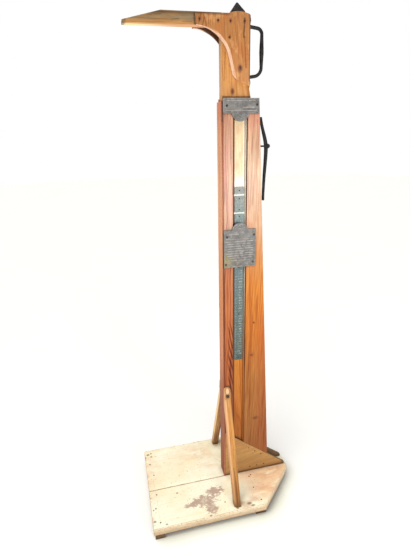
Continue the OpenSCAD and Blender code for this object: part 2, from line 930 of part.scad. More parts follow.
module cheek() {
    difference() {
        slab(-half_d, -mast_t / 2) cheek_profile();
        curve_chamfer_cut();
        back_chamfer_cut();
        cheek_nail_rows(shank_play);
    }
}

module cheek_nail_rows(grow = 0) {
    length = cheek_t + nail_bite - 2;
    for (p = cheek_nail_spots) side_nail(p.x, -half_d, p.y, nail_d, nail_head, length, grow);
}

module cheek_nail_pair(grow = 0) {
    for (far = [false, true]) on_side(far) cheek_nail_rows(grow);
}

module near_cheek() {
    color(pine) on_deck() cheek();
}

module far_cheek() {
    color(pine) on_deck() on_side(true) cheek();
}

module cheek_nails() {
    color(iron) on_deck() cheek_nail_pair();
}

// Handle and cap

// Leaf-shaped foot seen along X, pointing up
module leaf_outline() {
    a = acos(leaf_r / leaf_point);
    circle(r = leaf_r, $fn = 48);
    polygon([
        [0, 0], [leaf_r * sin(a), leaf_r * cos(a)], [0, leaf_point], [-leaf_r * sin(a), leaf_r * cos(a)]
    ]);
    translate([-handle_d / 2, -leaf_offset]) square([handle_d, leaf_offset]);
}

// Both feet, the upper one pointing up and the lower one down
module leaf_feet() {
    for (up = [false, true])
        translate([neck_x1, 0, up ? leg_top_z + leaf_offset : leg_low_z - leaf_offset])
            mirror([0, 0, up ? 0 : 1]) rotate([90, 0, 90]) linear_extrude(leaf_t) leaf_outline();
}

// Leg, bend and half grip from the grip's middle up to one leg, bent with radius r
module handle_half(r) {
    leg_x0 = neck_x1 + leaf_t / 2;
    leg_l = (grip_x - leg_x0 - r * (1 - sin(handle_slant))) / cos(handle_slant);
    grip_l = handle_span / 2 - leg_l * sin(handle_slant) - r * cos(handle_slant);
    translate([leg_x0, 0, handle_span / 2]) rotate([0, 90 + handle_slant, 0]) {
        cylinder(d = handle_d, h = leg_l - 0.3, $fn = 24);
        translate([0, 0, leg_l]) sphere(d = handle_d + 0.4, $fn = 32);
    }
    translate([grip_x - r, 0, grip_l]) rotate([90, 0, 0])
        rotate_extrude(angle = 90 - handle_slant, $fn = 48)
            translate([r, 0]) circle(d = handle_d, $fn = 24);
    translate([grip_x, 0, 0]) cylinder(d1 = grip_d, d2 = handle_d, h = grip_l, $fn = 24);
}

module handle() {
    color(iron) on_deck()
        difference() {
            union() {
                leaf_feet();
                for (up = [false, true])
                    translate([0, 0, leg_low_z + handle_span / 2]) mirror([0, 0, up ? 0 : 1])
                        handle_half(up ? handle_bend_r : handle_low_bend_r);
            }
            handle_nails_at(shank_play);
        }
}

module handle_nails_at(grow = 0) {
    for (z = [leg_top_z + leaf_offset, leg_low_z - leaf_offset])
        translate([leaf_x, 0, z]) rotate([0, 90, 0])
            if (grow == 0) {
                translate([0, 0, -handle_nail_len])
                    cylinder(d = handle_nail_d, h = handle_nail_len, $fn = 24);
                cylinder(d1 = handle_nail_head, d2 = handle_nail_head - 1, h = 1.5, $fn = 32);
                translate([0, 0, 1.5])
                    cylinder(d1 = handle_nail_head - 1, d2 = handle_nail_d, h = 2.5, $fn = 32);
            } else {
                translate([0, 0, -handle_nail_len - hole_rest])
                    cylinder(d = handle_nail_d + 2 * grow, h = handle_nail_len + hole_rest + cut, $fn = 24);
            }
}

module handle_nails() {
    color(iron) on_deck() handle_nails_at();
}

module cap_spike(grow = 0) {
    rest = grow > 0 ? hole_rest : 0;
    translate([cap_x, 0, arm_top - cap_spike_len - rest])
        cylinder(d = cap_spike_d + 2 * grow, h = cap_spike_len + 2 * rest, $fn = 32);
}

// Flat slab of the cap at height z, as a share of the base's size
module cap_layer(share, z, h) {
    translate([cap_x - cap_l * share / 2, -cap_w * share / 2, arm_top + z])
        cube([cap_l * share, cap_w * share, h]);
}

module cap() {
    color(iron) on_deck() {
        cap_spike();
        cap_layer(1, 0, cap_edge_h);
        hull() {
            cap_layer(1, cap_edge_h - 0.2, 0.2);
            cap_layer(0.17, cap_h - 2, 0.2);
        }
        hull() {
            cap_layer(0.17, cap_h - 2, 0.2);
            cap_layer(0.08, cap_h - 0.3, 0.3);
        }
    }
}

// Scale strips

module strip(z, length) {
    r = scale_corner_r;
    difference() {
        slab(-mast_t / 2 - scale_t, -mast_t / 2) {
            translate([scale_x + r, z]) square([scale_w - 2 * r, length]);
            translate([scale_x, z + r]) square([scale_w, length - 2 * r]);
            for (x = [scale_x + r, scale_x + scale_w - r])
                for (zc = [z + r, z + length - r])
                    translate([x, zc]) circle(r = r, $fn = 32);
        }
        tacks(shank_play);
    }
}

function tack_spots() = concat(
    [scale_top_z + scale_top_len / 2],
    [scale_middle_z + tack_inset, scale_middle_z + scale_middle_len - tack_inset],
    [for (i = [0:main_tack_count - 1])
        scale_main_z + tack_inset + i * (scale_main_len - 2 * tack_inset) / (main_tack_count - 1)]
);

module tacks(grow = 0) {
    for (z = tack_spots())
        side_nail(scale_x + scale_w / 2, -mast_t / 2 - scale_t, z, tack_d, tack_head, tack_len, grow);
}

module scale_top() {
    color(scale_grey) on_deck() strip(scale_top_z, scale_top_len);
}

module scale_middle() {
    color(scale_grey) on_deck() strip(scale_middle_z, scale_middle_len);
}

module scale_main() {
    color(scale_grey) on_deck() strip(scale_main_z, scale_main_len);
}

module scale_tacks() {
    color(zinc) on_deck() tacks();
}

near_plank();
far_plank();
front_batten();
rear_batten();
platform_nails();
front_board();
near_front_stile();
near_back_stile();
far_side_board();
spine();
foot_block();
near_gusset();
far_gusset();
gusset_nails();
near_brace();
far_brace();
brace_screws();
upper_plate();
lower_plate();
upper_plate_screws();
lower_plate_screws();
lever_bracket();
lever_pin();
lock_lever();
mast();
arm();
near_cheek();
far_cheek();
cheek_nails();
handle();
handle_nails();
cap();
scale_top();
scale_middle();
scale_main();
scale_tacks();
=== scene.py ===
import json
import math
import random

import bmesh
import bpy
from mathutils import Matrix, Vector, noise

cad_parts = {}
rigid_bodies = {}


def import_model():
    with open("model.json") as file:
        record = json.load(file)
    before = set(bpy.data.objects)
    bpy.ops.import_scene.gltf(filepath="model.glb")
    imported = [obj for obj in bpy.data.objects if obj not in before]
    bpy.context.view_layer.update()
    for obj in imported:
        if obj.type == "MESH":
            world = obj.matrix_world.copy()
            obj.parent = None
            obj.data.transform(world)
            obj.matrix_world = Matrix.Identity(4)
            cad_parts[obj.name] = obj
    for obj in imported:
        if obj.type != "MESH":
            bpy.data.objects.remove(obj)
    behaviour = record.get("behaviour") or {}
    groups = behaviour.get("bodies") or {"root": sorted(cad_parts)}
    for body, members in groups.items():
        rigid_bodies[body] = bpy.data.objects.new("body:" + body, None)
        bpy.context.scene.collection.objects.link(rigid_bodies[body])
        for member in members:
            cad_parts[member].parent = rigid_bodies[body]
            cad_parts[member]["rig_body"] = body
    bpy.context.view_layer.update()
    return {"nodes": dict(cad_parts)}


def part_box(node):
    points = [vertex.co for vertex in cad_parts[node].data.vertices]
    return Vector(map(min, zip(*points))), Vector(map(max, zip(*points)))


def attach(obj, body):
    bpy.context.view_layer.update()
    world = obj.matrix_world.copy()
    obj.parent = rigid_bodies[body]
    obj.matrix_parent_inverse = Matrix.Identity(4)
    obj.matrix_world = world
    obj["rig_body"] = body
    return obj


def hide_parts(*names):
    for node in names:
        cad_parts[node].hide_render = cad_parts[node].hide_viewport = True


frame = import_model()
NODES = frame["nodes"]
MM = 0.001


def srgb(r, g, b):
    """Linear colour of an sRGB value from 0 to 255."""
    def one(v):
        v /= 255
        return v / 12.92 if v <= 0.04045 else ((v + 0.055) / 1.055) ** 2.4
    return (one(r), one(g), one(b), 1)


def link(name, data):
    """A new object in the scene."""
    obj = bpy.data.objects.new(name, data)
    bpy.context.scene.collection.objects.link(obj)
    return obj


def as_mesh(name, bm):
    mesh = bpy.data.meshes.new(name)
    bm.to_mesh(mesh)
    bm.free()
    return mesh


def settled(obj):
    """The final mesh of an object, which is removed."""
    bpy.context.view_layer.update()
    mesh = bpy.data.meshes.new_from_object(obj.evaluated_get(bpy.context.evaluated_depsgraph_get()))
    bpy.data.objects.remove(obj)
    return mesh


# Camera, light and floor

LENS_MM = 25.87644
SENSOR_MM = 36
# Fitted to the edges of the boards in the photograph
CAMERA_PLACE = Matrix((
    (0.9727177, 0.0960062, -0.2111945, -0.43521719),
    (-0.2308985, 0.3123606, -0.9214753, -1.22420188),
    (-0.0224985, 0.9450998, 0.3260064, 1.35173052),
    (0, 0, 0, 1)))
ROOM_LIGHT = ((1, 0.985, 0.965, 1), 0.3)
BACKDROP = ((1, 1, 1, 1), 1)
LAMP_COLOUR = (1, 0.985, 0.96)
SUN_STRENGTH = 2.45
WINDOW_WATTS = 24
FLOOR_RADIUS = 14
SHADOW_REACH = 0.11


def make_camera():
    data = bpy.data.cameras.new("camera")
    data.lens = LENS_MM
    data.sensor_width = SENSOR_MM
    data.sensor_fit = "AUTO"
    data.clip_start = 0.02
    data.clip_end = 100
    camera = link("camera", data)
    camera.matrix_world = CAMERA_PLACE
    bpy.context.scene.camera = camera


def add_light(name, kind, place, target, power, **more):
    data = bpy.data.lights.new(name, kind)
    data.energy = power
    data.color = LAMP_COLOUR
    for key, value in more.items():
        setattr(data, key, value)
    light = link(name, data)
    light.rotation_euler = (Vector(target) - Vector(place)).to_track_quat("-Z", "Y").to_euler()
    light.location = place


def make_world():
    """White to the camera, a dimmer even room to everything else."""
    world = bpy.data.worlds.new("studio")
    bpy.context.scene.world = world
    world.use_nodes = True
    tree = world.node_tree
    tree.nodes.clear()
    out = tree.nodes.new("ShaderNodeOutputWorld")
    mix = tree.nodes.new("ShaderNodeMixShader")
    path = tree.nodes.new("ShaderNodeLightPath")
    tree.links.new(path.outputs["Is Camera Ray"], mix.inputs[0])
    for socket, (colour, strength) in zip(mix.inputs[1:], (ROOM_LIGHT, BACKDROP)):
        light = tree.nodes.new("ShaderNodeBackground")
        light.inputs["Color"].default_value = colour
        light.inputs["Strength"].default_value = strength
        tree.links.new(light.outputs[0], socket)
    tree.links.new(mix.outputs[0], out.inputs["Surface"])


def make_floor():
    bm = bmesh.new()
    bmesh.ops.create_circle(bm, cap_ends=True, segments=96, radius=FLOOR_RADIUS)
    floor = link("floor", as_mesh("floor", bm))
    s = Shader("floor_paper")
    tone = s.mix(s.noise(s.place, 1.3, 2), (248, 248, 246), (252, 252, 250))
    # Soft contact shadow, leaning away from the light on the left
    lean = s.get(0, "CombineXYZ", {"X": -0.55, "Y": 0.28, "Z": 0.79})
    near = s.get("AO", "AmbientOcclusion", {"Distance": SHADOW_REACH, "Normal": lean}, samples=12)
    tone = s.over(tone, ((222, 224, 210), s.ease(near, 0.93, 0.55)),
        ((146, 137, 120), s.ease(near, 0.54, 0.28)))
    s.finish(tone, s.ease(s.noise(s.place, 9), 0.3, 0.7, 0.85, 0.95), glow=0.1)
    floor.data.materials.append(s.mat)


def make_studio():
    view = bpy.context.scene.view_settings
    view.view_transform = "Standard"
    view.look = "None"
    make_world()
    add_light("overhead", "SUN", (-1.35, -1, 3), (0, 0, 0), SUN_STRENGTH, angle=math.radians(50))
    add_light("window", "AREA", (0.71, -2.4, 0.9), (-0.05, -0.03, 1.2), WINDOW_WATTS, shape="RECTANGLE",
              size=0.55, size_y=0.75)
    make_floor()


# Material building. A colour is an sRGB triple from 0 to 255 or a node's output, a mask is 1 where it works.
# Plain places are metres of the frame, the ones given to spot, stroke and their relatives millimetres

class Shader:
    def __init__(self, name):
        self.mat = bpy.data.materials.new(name)
        self.mat.use_nodes = True
        self.tree = self.mat.node_tree
        self.tree.nodes.clear()
        self.out = self.node("OutputMaterial")
        self.place = self.node("TexCoord").outputs["Object"]
        self.normal = self.node("NewGeometry").outputs["Normal"]
        self.x, self.y, self.z = self.node("SeparateXYZ", {"Vector": self.place}).outputs[:3]
        self.nx, self.ny, self.nz = self.node("SeparateXYZ", {"Vector": self.normal}).outputs[:3]

    def feed(self, socket, value):
        if isinstance(value, bpy.types.NodeSocket):
            self.tree.links.new(value, socket)
        else:
            socket.default_value = value

    def node(self, kind, ins=None, **props):
        made = self.tree.nodes.new("ShaderNode" + kind)
        for key, value in props.items():
            setattr(made, key, value)
        for key, value in (ins or {}).items():
            self.feed(made.inputs[key], value)
        return made

    def get(self, result, kind, ins, **props):
        """One output of a new node."""
        return self.node(kind, ins, **props).outputs[result]

    def math(self, how, a, b=0, clamp=False):
        made = self.node("Math", operation=how, use_clamp=clamp)
        self.feed(made.inputs[0], a)
        self.feed(made.inputs[1], b)
        return made.outputs[0]

    def plus(self, a, b):
        return self.math("ADD", a, b)

    def minus(self, a, b):
        return self.math("SUBTRACT", a, b)

    def size(self, value):
        return self.math("ABSOLUTE", value)

    def times(self, first, *others):
        for other in others:
            first = self.math("MULTIPLY", first, other)
        return first

    def most(self, first, *others):
        for other in others:
            first = self.math("MAXIMUM", first, other)
        return first

    def ease(self, value, low, high, start=0, end=1):
        """Smooth step. Low above high gives a falling one."""
        if low > high:
            low, high, start, end = high, low, end, start
        return self.get("Result", "MapRange", {
            "Value": value, "From Min": low, "From Max": high, "To Min": start, "To Max": end},
            interpolation_type="SMOOTHSTEP")

    def band(self, value, rise, full, fade, gone):
        return self.times(self.ease(value, rise, full), self.ease(value, gone, fade))

    def map(self, at, scale=(1, 1, 1), move=(0, 0, 0), turn=(0, 0, 0)):
        return self.get("Vector", "Mapping", {"Vector": at, "Location": move, "Rotation": turn, "Scale": scale})

    def noise(self, at, scale, detail=2, rough=0.5, result="Fac"):
        """Noise of one scale, or stretched by a scale per axis."""
        if isinstance(scale, tuple):
            at, scale = self.map(at, scale), 1
        return self.get(result, "TexNoise", {
            "Vector": at, "Scale": scale, "Detail": detail, "Roughness": rough})

    def clouds(self, scale, low, high, much=1, detail=3):
        """Ragged soft spots."""
        return self.ease(self.noise(self.place, scale, detail, 0.6), low, high, 0, much)

    def vec(self, how, a, b=(0, 0, 0), scale=None):
        made = self.node("VectorMath", operation=how)
        self.feed(made.inputs[0], a)
        self.feed(made.inputs[1], b)
        if scale is not None:
            self.feed(made.inputs["Scale"], scale)
        return made.outputs["Value" if how in ("LENGTH", "DOT_PRODUCT") else "Vector"]

    def mix(self, how_much, a, b, blend="MIX"):
        made = self.node("Mix", data_type="RGBA", blend_type=blend, clamp_factor=True)
        for i, value in ((0, how_much), (6, a), (7, b)):
            triple = isinstance(value, tuple) and len(value) == 3
            self.feed(made.inputs[i], srgb(*value) if triple else value)
        return made.outputs[2]

    def over(self, colour, *layers):
        """Paints laid over a colour in turn, each with the masks that limit it."""
        for paint, *masks in layers:
            colour = self.mix(self.times(*masks), colour, paint)
        return colour

    def tint(self, colour, *layers):
        """Tints multiplied into a colour in turn, each with the masks that limit it."""
        for factors, *masks in layers:
            colour = self.mix(self.times(*masks), colour, factors + (1,), "MULTIPLY")
        return colour

    def shade(self, colour, amount):
        """Colour times a grey amount."""
        grey = self.node("CombineColor")
        for i in range(3):
            self.feed(grey.inputs[i], amount)
        return self.mix(1, colour, grey.outputs[0], "MULTIPLY")

    def ramp(self, value, *stops):
        """Colour along a rising value. A stop is the value and the colour's three numbers."""
        low, high = stops[0][0], stops[-1][0]
        made = self.node("ValToRGB")
        part = self.math("DIVIDE", self.minus(value, low), high - low, clamp=True)
        self.feed(made.inputs["Fac"], part)
        points = made.color_ramp.elements
        while len(points) < len(stops):
            points.new(0.5)
        for point, stop in zip(list(points), stops):
            point.position = (stop[0] - low) / (high - low)
        for point, stop in zip(made.color_ramp.elements, stops):
            point.color = srgb(*stop[1:])
        return made.outputs["Color"]

    def spot(self, centre, size, soft=0.35, ragged=0, grain=60):
        """1 inside an ellipsoid round a point, 0 outside, with a soft or ragged rim."""
        c = [v * MM for v in centre]
        r = [v * MM for v in size]
        at = self.map(self.place, scale=[1 / v for v in r], move=[-c[i] / r[i] for i in range(3)])
        far = self.vec("LENGTH", at)
        if ragged:
            rough = self.noise(self.place, grain, 3, 0.6)
            far = self.plus(far, self.times(self.minus(rough, 0.5), ragged * 2))
        return self.ease(far, 1 + soft, 1 - soft)

    def stroke(self, start, end, width, flat=(1, 0, 1), ragged=0.6):
        """1 along a thin crack between two points, the same at any depth across the flat axes."""
        a = Vector([v * MM * f for v, f in zip(start, flat)])
        d = Vector([v * MM * f for v, f in zip(end, flat)]) - a
        at = self.vec("SUBTRACT", self.vec("MULTIPLY", self.place, flat), tuple(a))
        part = self.math("MULTIPLY", self.vec("DOT_PRODUCT", at, tuple(d / d.length_squared)), 1, clamp=True)
        off = self.vec("LENGTH", self.vec("SUBTRACT", at, self.vec("SCALE", tuple(d), scale=part)))
        shake = self.times(self.minus(self.noise(self.place, 240, 2), 0.5), ragged * width * MM * 2)
        return self.ease(self.plus(off, shake), width * MM * 0.8, width * MM * 0.35)

    def cracks(self, colour, factors, width, much, *lines):
        """Thin tinted lines on the sides, each from x and z to x and z."""
        return self.tint(colour, *[(factors, self.stroke((x0, 0, z0), (x1, 0, z1), width), much)
                                   for x0, z0, x1, z1 in lines])

    def edges(self, radius=0.0022, low=0.04, high=0.35):
        """1 along sharp edges, from the turn of a rounded normal against the true one."""
        soft = self.get("Normal", "Bevel", {"Radius": radius}, samples=6)
        return self.ease(self.minus(1, self.vec("DOT_PRODUCT", soft, self.normal)), low, high)

    def corners(self, distance=0.012, low=0.35, high=0.95):
        """1 in creases and under what lies close by."""
        near = self.get("AO", "AmbientOcclusion", {"Distance": distance}, samples=6)
        return self.ease(near, high, low)

    def aged(self, colour, paler, wear, dirt_and_shade, grime, radius=0.0016, distance=0.012):
        """Paler edges, and grime with painted shade in the creases."""
        return self.over(colour, (paler, self.edges(radius), wear),
                         (dirt_and_shade, self.corners(distance, 0.55, 0.965), grime))

    def bump(self, height, depth=0.0004, strength=0.5):
        return self.get("Normal", "Bump", {"Strength": strength, "Distance": depth, "Height": height})

    def finish(self, colour, roughness, normal=None, metal=0, coat=0, coat_rough=0.2, level=0.3, glow=0):
        ins = {"Base Color": colour, "Roughness": roughness, "Metallic": metal, "Specular IOR Level": level,
               "Coat Weight": coat, "Coat Roughness": coat_rough}
        if normal is not None:
            ins["Normal"] = normal
        if glow:
            ins["Emission Color"] = (1, 1, 1, 1)
            ins["Emission Strength"] = glow
        shader = self.node("BsdfPrincipled", ins)
        self.tree.links.new(shader.outputs["BSDF"], self.out.inputs["Surface"])
        return self.mat


TURN_TO = {"z": (0, 0, 0), "x": (0, -math.pi / 2, 0), "y": (math.pi / 2, 0, 0)}
PALE_STREAK = (1.22, 1.2, 1.16)


class Wood(Shader):
    """Softwood whose log runs along one axis. Rings lie round a wandering pith beside the board."""

    def __init__(self, name, along, pith, tilt=(0, 0), ring=0.0035, wander=0.012, seed=0):
        super().__init__(name)
        centre = self.vec("SUBTRACT", self.place, tuple(v * MM for v in pith))
        log = self.map(centre, turn=TURN_TO[along])
        log = self.map(log, turn=(math.radians(tilt[0]), math.radians(tilt[1]), 0))
        seeded = self.map(log, move=(seed, seed * 1.7, seed * 0.6))
        drift = self.vec("SUBTRACT", self.noise(seeded, (7, 7, 2.2), result="Color"), (0.5, 0.5, 0.5))
        at = self.vec("ADD", log, self.vec("SCALE", drift, scale=wander * 2))
        rings = self.math("DIVIDE", self.vec("LENGTH", self.map(at, (1, 1, 0))), ring)
        count = self.plus(rings, self.times(self.noise(seeded, (30, 30, 3)), 1.6))
        late = self.band(self.math("FRACT", count), 0.25, 0.88, 0.9, 1)
        own = self.get("Value", "TexWhiteNoise", {"W": self.math("FLOOR", count)}, noise_dimensions="1D")
        self.late = self.times(late, self.ease(own, 0, 1, 0.45, 1))
        self.fibre = self.noise(seeded, (620, 620, 16), 2, 0.6)
        self.fine = self.noise(seeded, (230, 230, 6), 2, 0.55)
        self.streak = self.noise(seeded, (95, 95, 3.2), 3, 0.6)
        self.broad = self.noise(seeded, (9, 9, 2.4))

    def grained(self, base, late=(0.66, 0.46, 0.36), late_much=0.6, streak=(0.66, 0.48, 0.38), streak_much=0.6,
                fine_much=0.4, fibre_much=0.2, pale_much=0.3):
        """A base colour with rings, dark and pale streaks and fine fibre laid over it."""
        c = self.tint(base, (late, self.late, late_much),
                      (streak, self.ease(self.streak, 0.5, 0.7, 0, streak_much)),
                      (PALE_STREAK, self.ease(self.streak, 0.46, 0.28, 0, pale_much)),
                      (streak, self.ease(self.fine, 0.5, 0.68, 0, fine_much)))
        return self.shade(c, self.ease(self.fibre, 0.25, 0.75, 1 - fibre_much, 1 + fibre_much * 0.55))

    def grain_bump(self, depth=0.00025, strength=0.45):
        return self.bump(self.plus(self.times(self.fibre, 0.55), self.times(self.late, 0.45)), depth, strength)

    def gloss(self, low, high):
        """Where the varnish still shines: from about a metre up."""
        return self.ease(self.z, 0.8, 1.08, low, high)

    def varnish(self, colour, rough, much, coat_rough=0.26, depth=0.00025):
        return self.finish(colour, self.ease(self.streak, 0.3, 0.7, rough, rough + 0.12),
                           self.grain_bump(depth), coat=much, coat_rough=coat_rough, level=0.2)


# Woods

def stile_wood():
    """The two side boards beside the reading slot."""
    s = Wood("varnished_red_pine", "z", pith=(-75, 60, 0), tilt=(0.5, -2.2), ring=0.0042, wander=0.01,
             seed=3.1)
    x, z = s.x, s.z
    # Colour up the height, the pale rear stile about 1.25 m up partly painted highlight
    front = s.ramp(z, (0.24, 158, 88, 48), (0.6, 188, 106, 54), (0.74, 198, 116, 65), (0.9, 206, 128, 80),
        (1.08, 198, 132, 94), (1.2, 204, 146, 112), (1.46, 200, 144, 112))
    back = s.ramp(z, (0.12, 154, 100, 52), (0.5, 181, 118, 55), (0.68, 201, 120, 44), (0.86, 222, 142, 56),
        (1.04, 212, 148, 90), (1.14, 212, 164, 120), (1.25, 232, 204, 166), (1.32, 214, 168, 130),
        (1.46, 208, 156, 120))
    front = s.grained(front, (0.5, 0.28, 0.24), 0.8, (0.6, 0.38, 0.32), 0.8, 0.6)
    back = s.grained(back, (0.76, 0.54, 0.42), 0.6, (0.66, 0.44, 0.32), 0.8, 0.5)
    c = s.mix(s.ease(x, -0.045, -0.03), front, back)

    # Upper half: rosy and cream blotches, the cream along the slot, partly bleached wood and partly painted
    # highlight
    upper = s.ease(z, 0.98, 1.12)
    rosy = s.most(s.ease(x, -0.02, -0.04, 0.35, 1), s.ease(z, 1.33, 1.38))
    along_slot = s.band(x, -0.085, -0.074, -0.05, -0.045)
    c = s.over(c, ((212, 132, 112), upper, s.clouds((30, 30, 10), 0.46, 0.6, 0.6), rosy),
        ((228, 180, 134), upper, s.clouds((44, 44, 7), 0.5, 0.62, 0.55)),
        ((226, 180, 140), upper, along_slot, s.clouds((90, 90, 5), 0.36, 0.56, 0.5)))
    c = s.cracks(c, (0.62, 0.38, 0.3), 2.2, 0.55, (-72, 1440, -69, 1290), (-76, 1400, -66, 1180),
        (-88, 1330, -84, 1120), (-14, 1250, -12, 1110), (4, 1440, 2, 1380), (20, 1180, 22, 1050),
        (-17, 1440, -15, 1340), (12, 1400, 20, 1290))

    # Lower half: bold slanting figure on the front stile, dark and rosy bands on the rear one
    shaken = s.times(s.minus(s.noise(s.place, (50, 50, 10)), 0.5), 0.01)
    slant = s.plus(s.plus(x, s.times(z, 0.21)), shaken)
    bold = s.times(s.band(s.math("FRACT", s.math("DIVIDE", slant, 0.0105)), 0.18, 0.44, 0.64, 0.86),
        s.band(x, -0.087, -0.076, -0.05, -0.045), s.band(z, 0.4, 0.48, 0.7, 0.76), 0.95)
    c = s.tint(c, ((0.3, 0.15, 0.16), bold))
    # A dark line down the front corner beside the front board, painted shade
    c = s.over(c,
        ((84, 40, 26), s.ease(x, -0.0915, -0.0938), s.ease(z, 1.1, 0.85, 0.35, 0.8), s.ease(s.y, 0, -0.01)))
    lower = s.ease(z, 0.95, 0.7)
    dark_band = s.most(s.times(s.band(x, -0.01, -0.004, 0, 0.006), s.band(z, 0.74, 0.82, 0.9, 0.96)),
        s.times(s.band(x, -0.003, 0.002, 0.006, 0.011), lower))
    # The last band darkens the slot's rear edge as painted shade
    c = s.tint(c, ((0.72, 0.5, 0.4), dark_band, s.ease(s.broad, 0.3, 0.6, 0.3, 0.75)),
        ((0.94, 0.72, 0.8), lower, s.ease(x, 0.014, 0.05), 0.7),
        ((0.62, 0.42, 0.32), s.band(x, -0.022, -0.0205, -0.019, -0.0165)))

    # Knots and small marks seen in the photograph, on the reader's side
    marks = s.most(s.spot((13.7, -26, 725), (3.6, 6, 4.2), 0.5),
        s.spot((6.9, -26, 594), (5.4, 6, 4.4), 0.5, 0.2),
        s.times(s.spot((28, -26, 311), (12, 6, 6), 0.8, 0.4), 0.7),
        s.times(s.spot((12, -26, 980), (5, 6, 9), 0.8, 0.3), 0.5))
    c = s.over(c, ((78, 38, 26), marks, 0.8),
        ((150, 78, 34), s.spot((6.9, -26, 594), (9, 6, 13), 0.9, 0.3), 0.4))
    c = s.aged(c, (222, 156, 100), 0.35, (66, 34, 24), 0.75)

    # The slot's rear wall painted pale as painted light, with a painted shadow line at its opening
    wall = s.times(s.ease(s.nx, -0.6, -0.85), s.ease(x, -0.04, -0.03), s.ease(z, 1.458, 1.452))
    lit = s.mix(s.ease(z, 0.6, 1.05), (214, 146, 72), (255, 252, 236))
    mouth_shadow = s.times(s.band(x, -0.0222, -0.0217, -0.018, -0.0164), s.ease(s.ny, -0.3, -0.6),
        s.ease(z, 0.45, 0.62, 0.45, 0.95))
    c = s.over(c, (lit, wall), ((66, 32, 20), mouth_shadow))
    return s.varnish(c, 0.48, s.times(s.gloss(0.03, 0.55), s.minus(1, mouth_shadow)))


def front_wood():
    s = Wood("varnished_front_board", "z", pith=(-60, -40, 0), tilt=(0.6, 0.4), ring=0.0034, wander=0.008,
             seed=8.3)
    z = s.z
    # Colour up the height, the pale pink top partly painted highlight
    c = s.ramp(z, (0.05, 146, 73, 46), (0.4, 166, 92, 56), (0.62, 224, 148, 100), (0.85, 230, 146, 82),
        (1.06, 238, 160, 102), (1.2, 250, 184, 136), (1.36, 250, 184, 138), (1.42, 241, 159, 119),
        (1.46, 241, 159, 119))
    c = s.grained(c, (0.66, 0.46, 0.38), 0.5, (0.66, 0.48, 0.4), 0.5, 0.4)
    # Browner on its reader's side, with painted shade beside the plates
    brown = s.grained(s.mix(s.ease(z, 0.95, 1.15), (142, 68, 36), (172, 94, 48)), (0.7, 0.5, 0.4), 0.6)
    plate_shade = s.most(s.ease(z, 1.392, 1.396), s.band(z, 0.936, 0.94, 1.056, 1.06))
    brown = s.over(brown, ((226, 158, 128), s.ease(z, 0.46, 0.38), 0.35), ((72, 42, 30), plate_shade, 0.75))
    c = s.over(c, (brown, s.ease(s.ny, -0.55, -0.85)))
    c = s.aged(c, (236, 176, 132), 0.4, (70, 36, 26), 0.6)
    return s.varnish(c, 0.48, s.gloss(0.02, 0.3), 0.3)


def back_wood():
    """The far side board, the spine and the stop block."""
    s = Wood("varnished_back_boards", "z", pith=(40, 90, 0), tilt=(0.8, 0.5), ring=0.0038, wander=0.012,
             seed=5.7)
    c = s.ramp(s.z, (0.05, 140, 84, 50), (0.6, 188, 112, 56), (1.1, 202, 134, 84), (1.46, 198, 134, 92))
    c = s.grained(c, (0.7, 0.5, 0.4), 0.6, (0.64, 0.44, 0.34), 0.6, 0.4)
    c = s.over(c, ((214, 146, 118), s.ease(s.z, 0.98, 1.15), s.clouds((30, 30, 8), 0.48, 0.62, 0.5)))
    # Seam between the side boards and the tapered spine, and hand dirt round the lever
    seam = s.band(s.size(s.y), 0.0148, 0.0158, 0.0162, 0.0172)
    c = s.tint(c, ((0.35, 0.25, 0.2), seam, s.ease(s.nx, 0.5, 0.8), 0.7),
        ((0.7, 0.6, 0.52), s.spot((60, 0, 1300), (60, 40, 170), 0.8, 0.3)))
    c = s.aged(c, (222, 164, 112), 0.4, (66, 36, 26), 0.6)
    return s.varnish(c, 0.5, s.gloss(0.03, 0.3), 0.3)


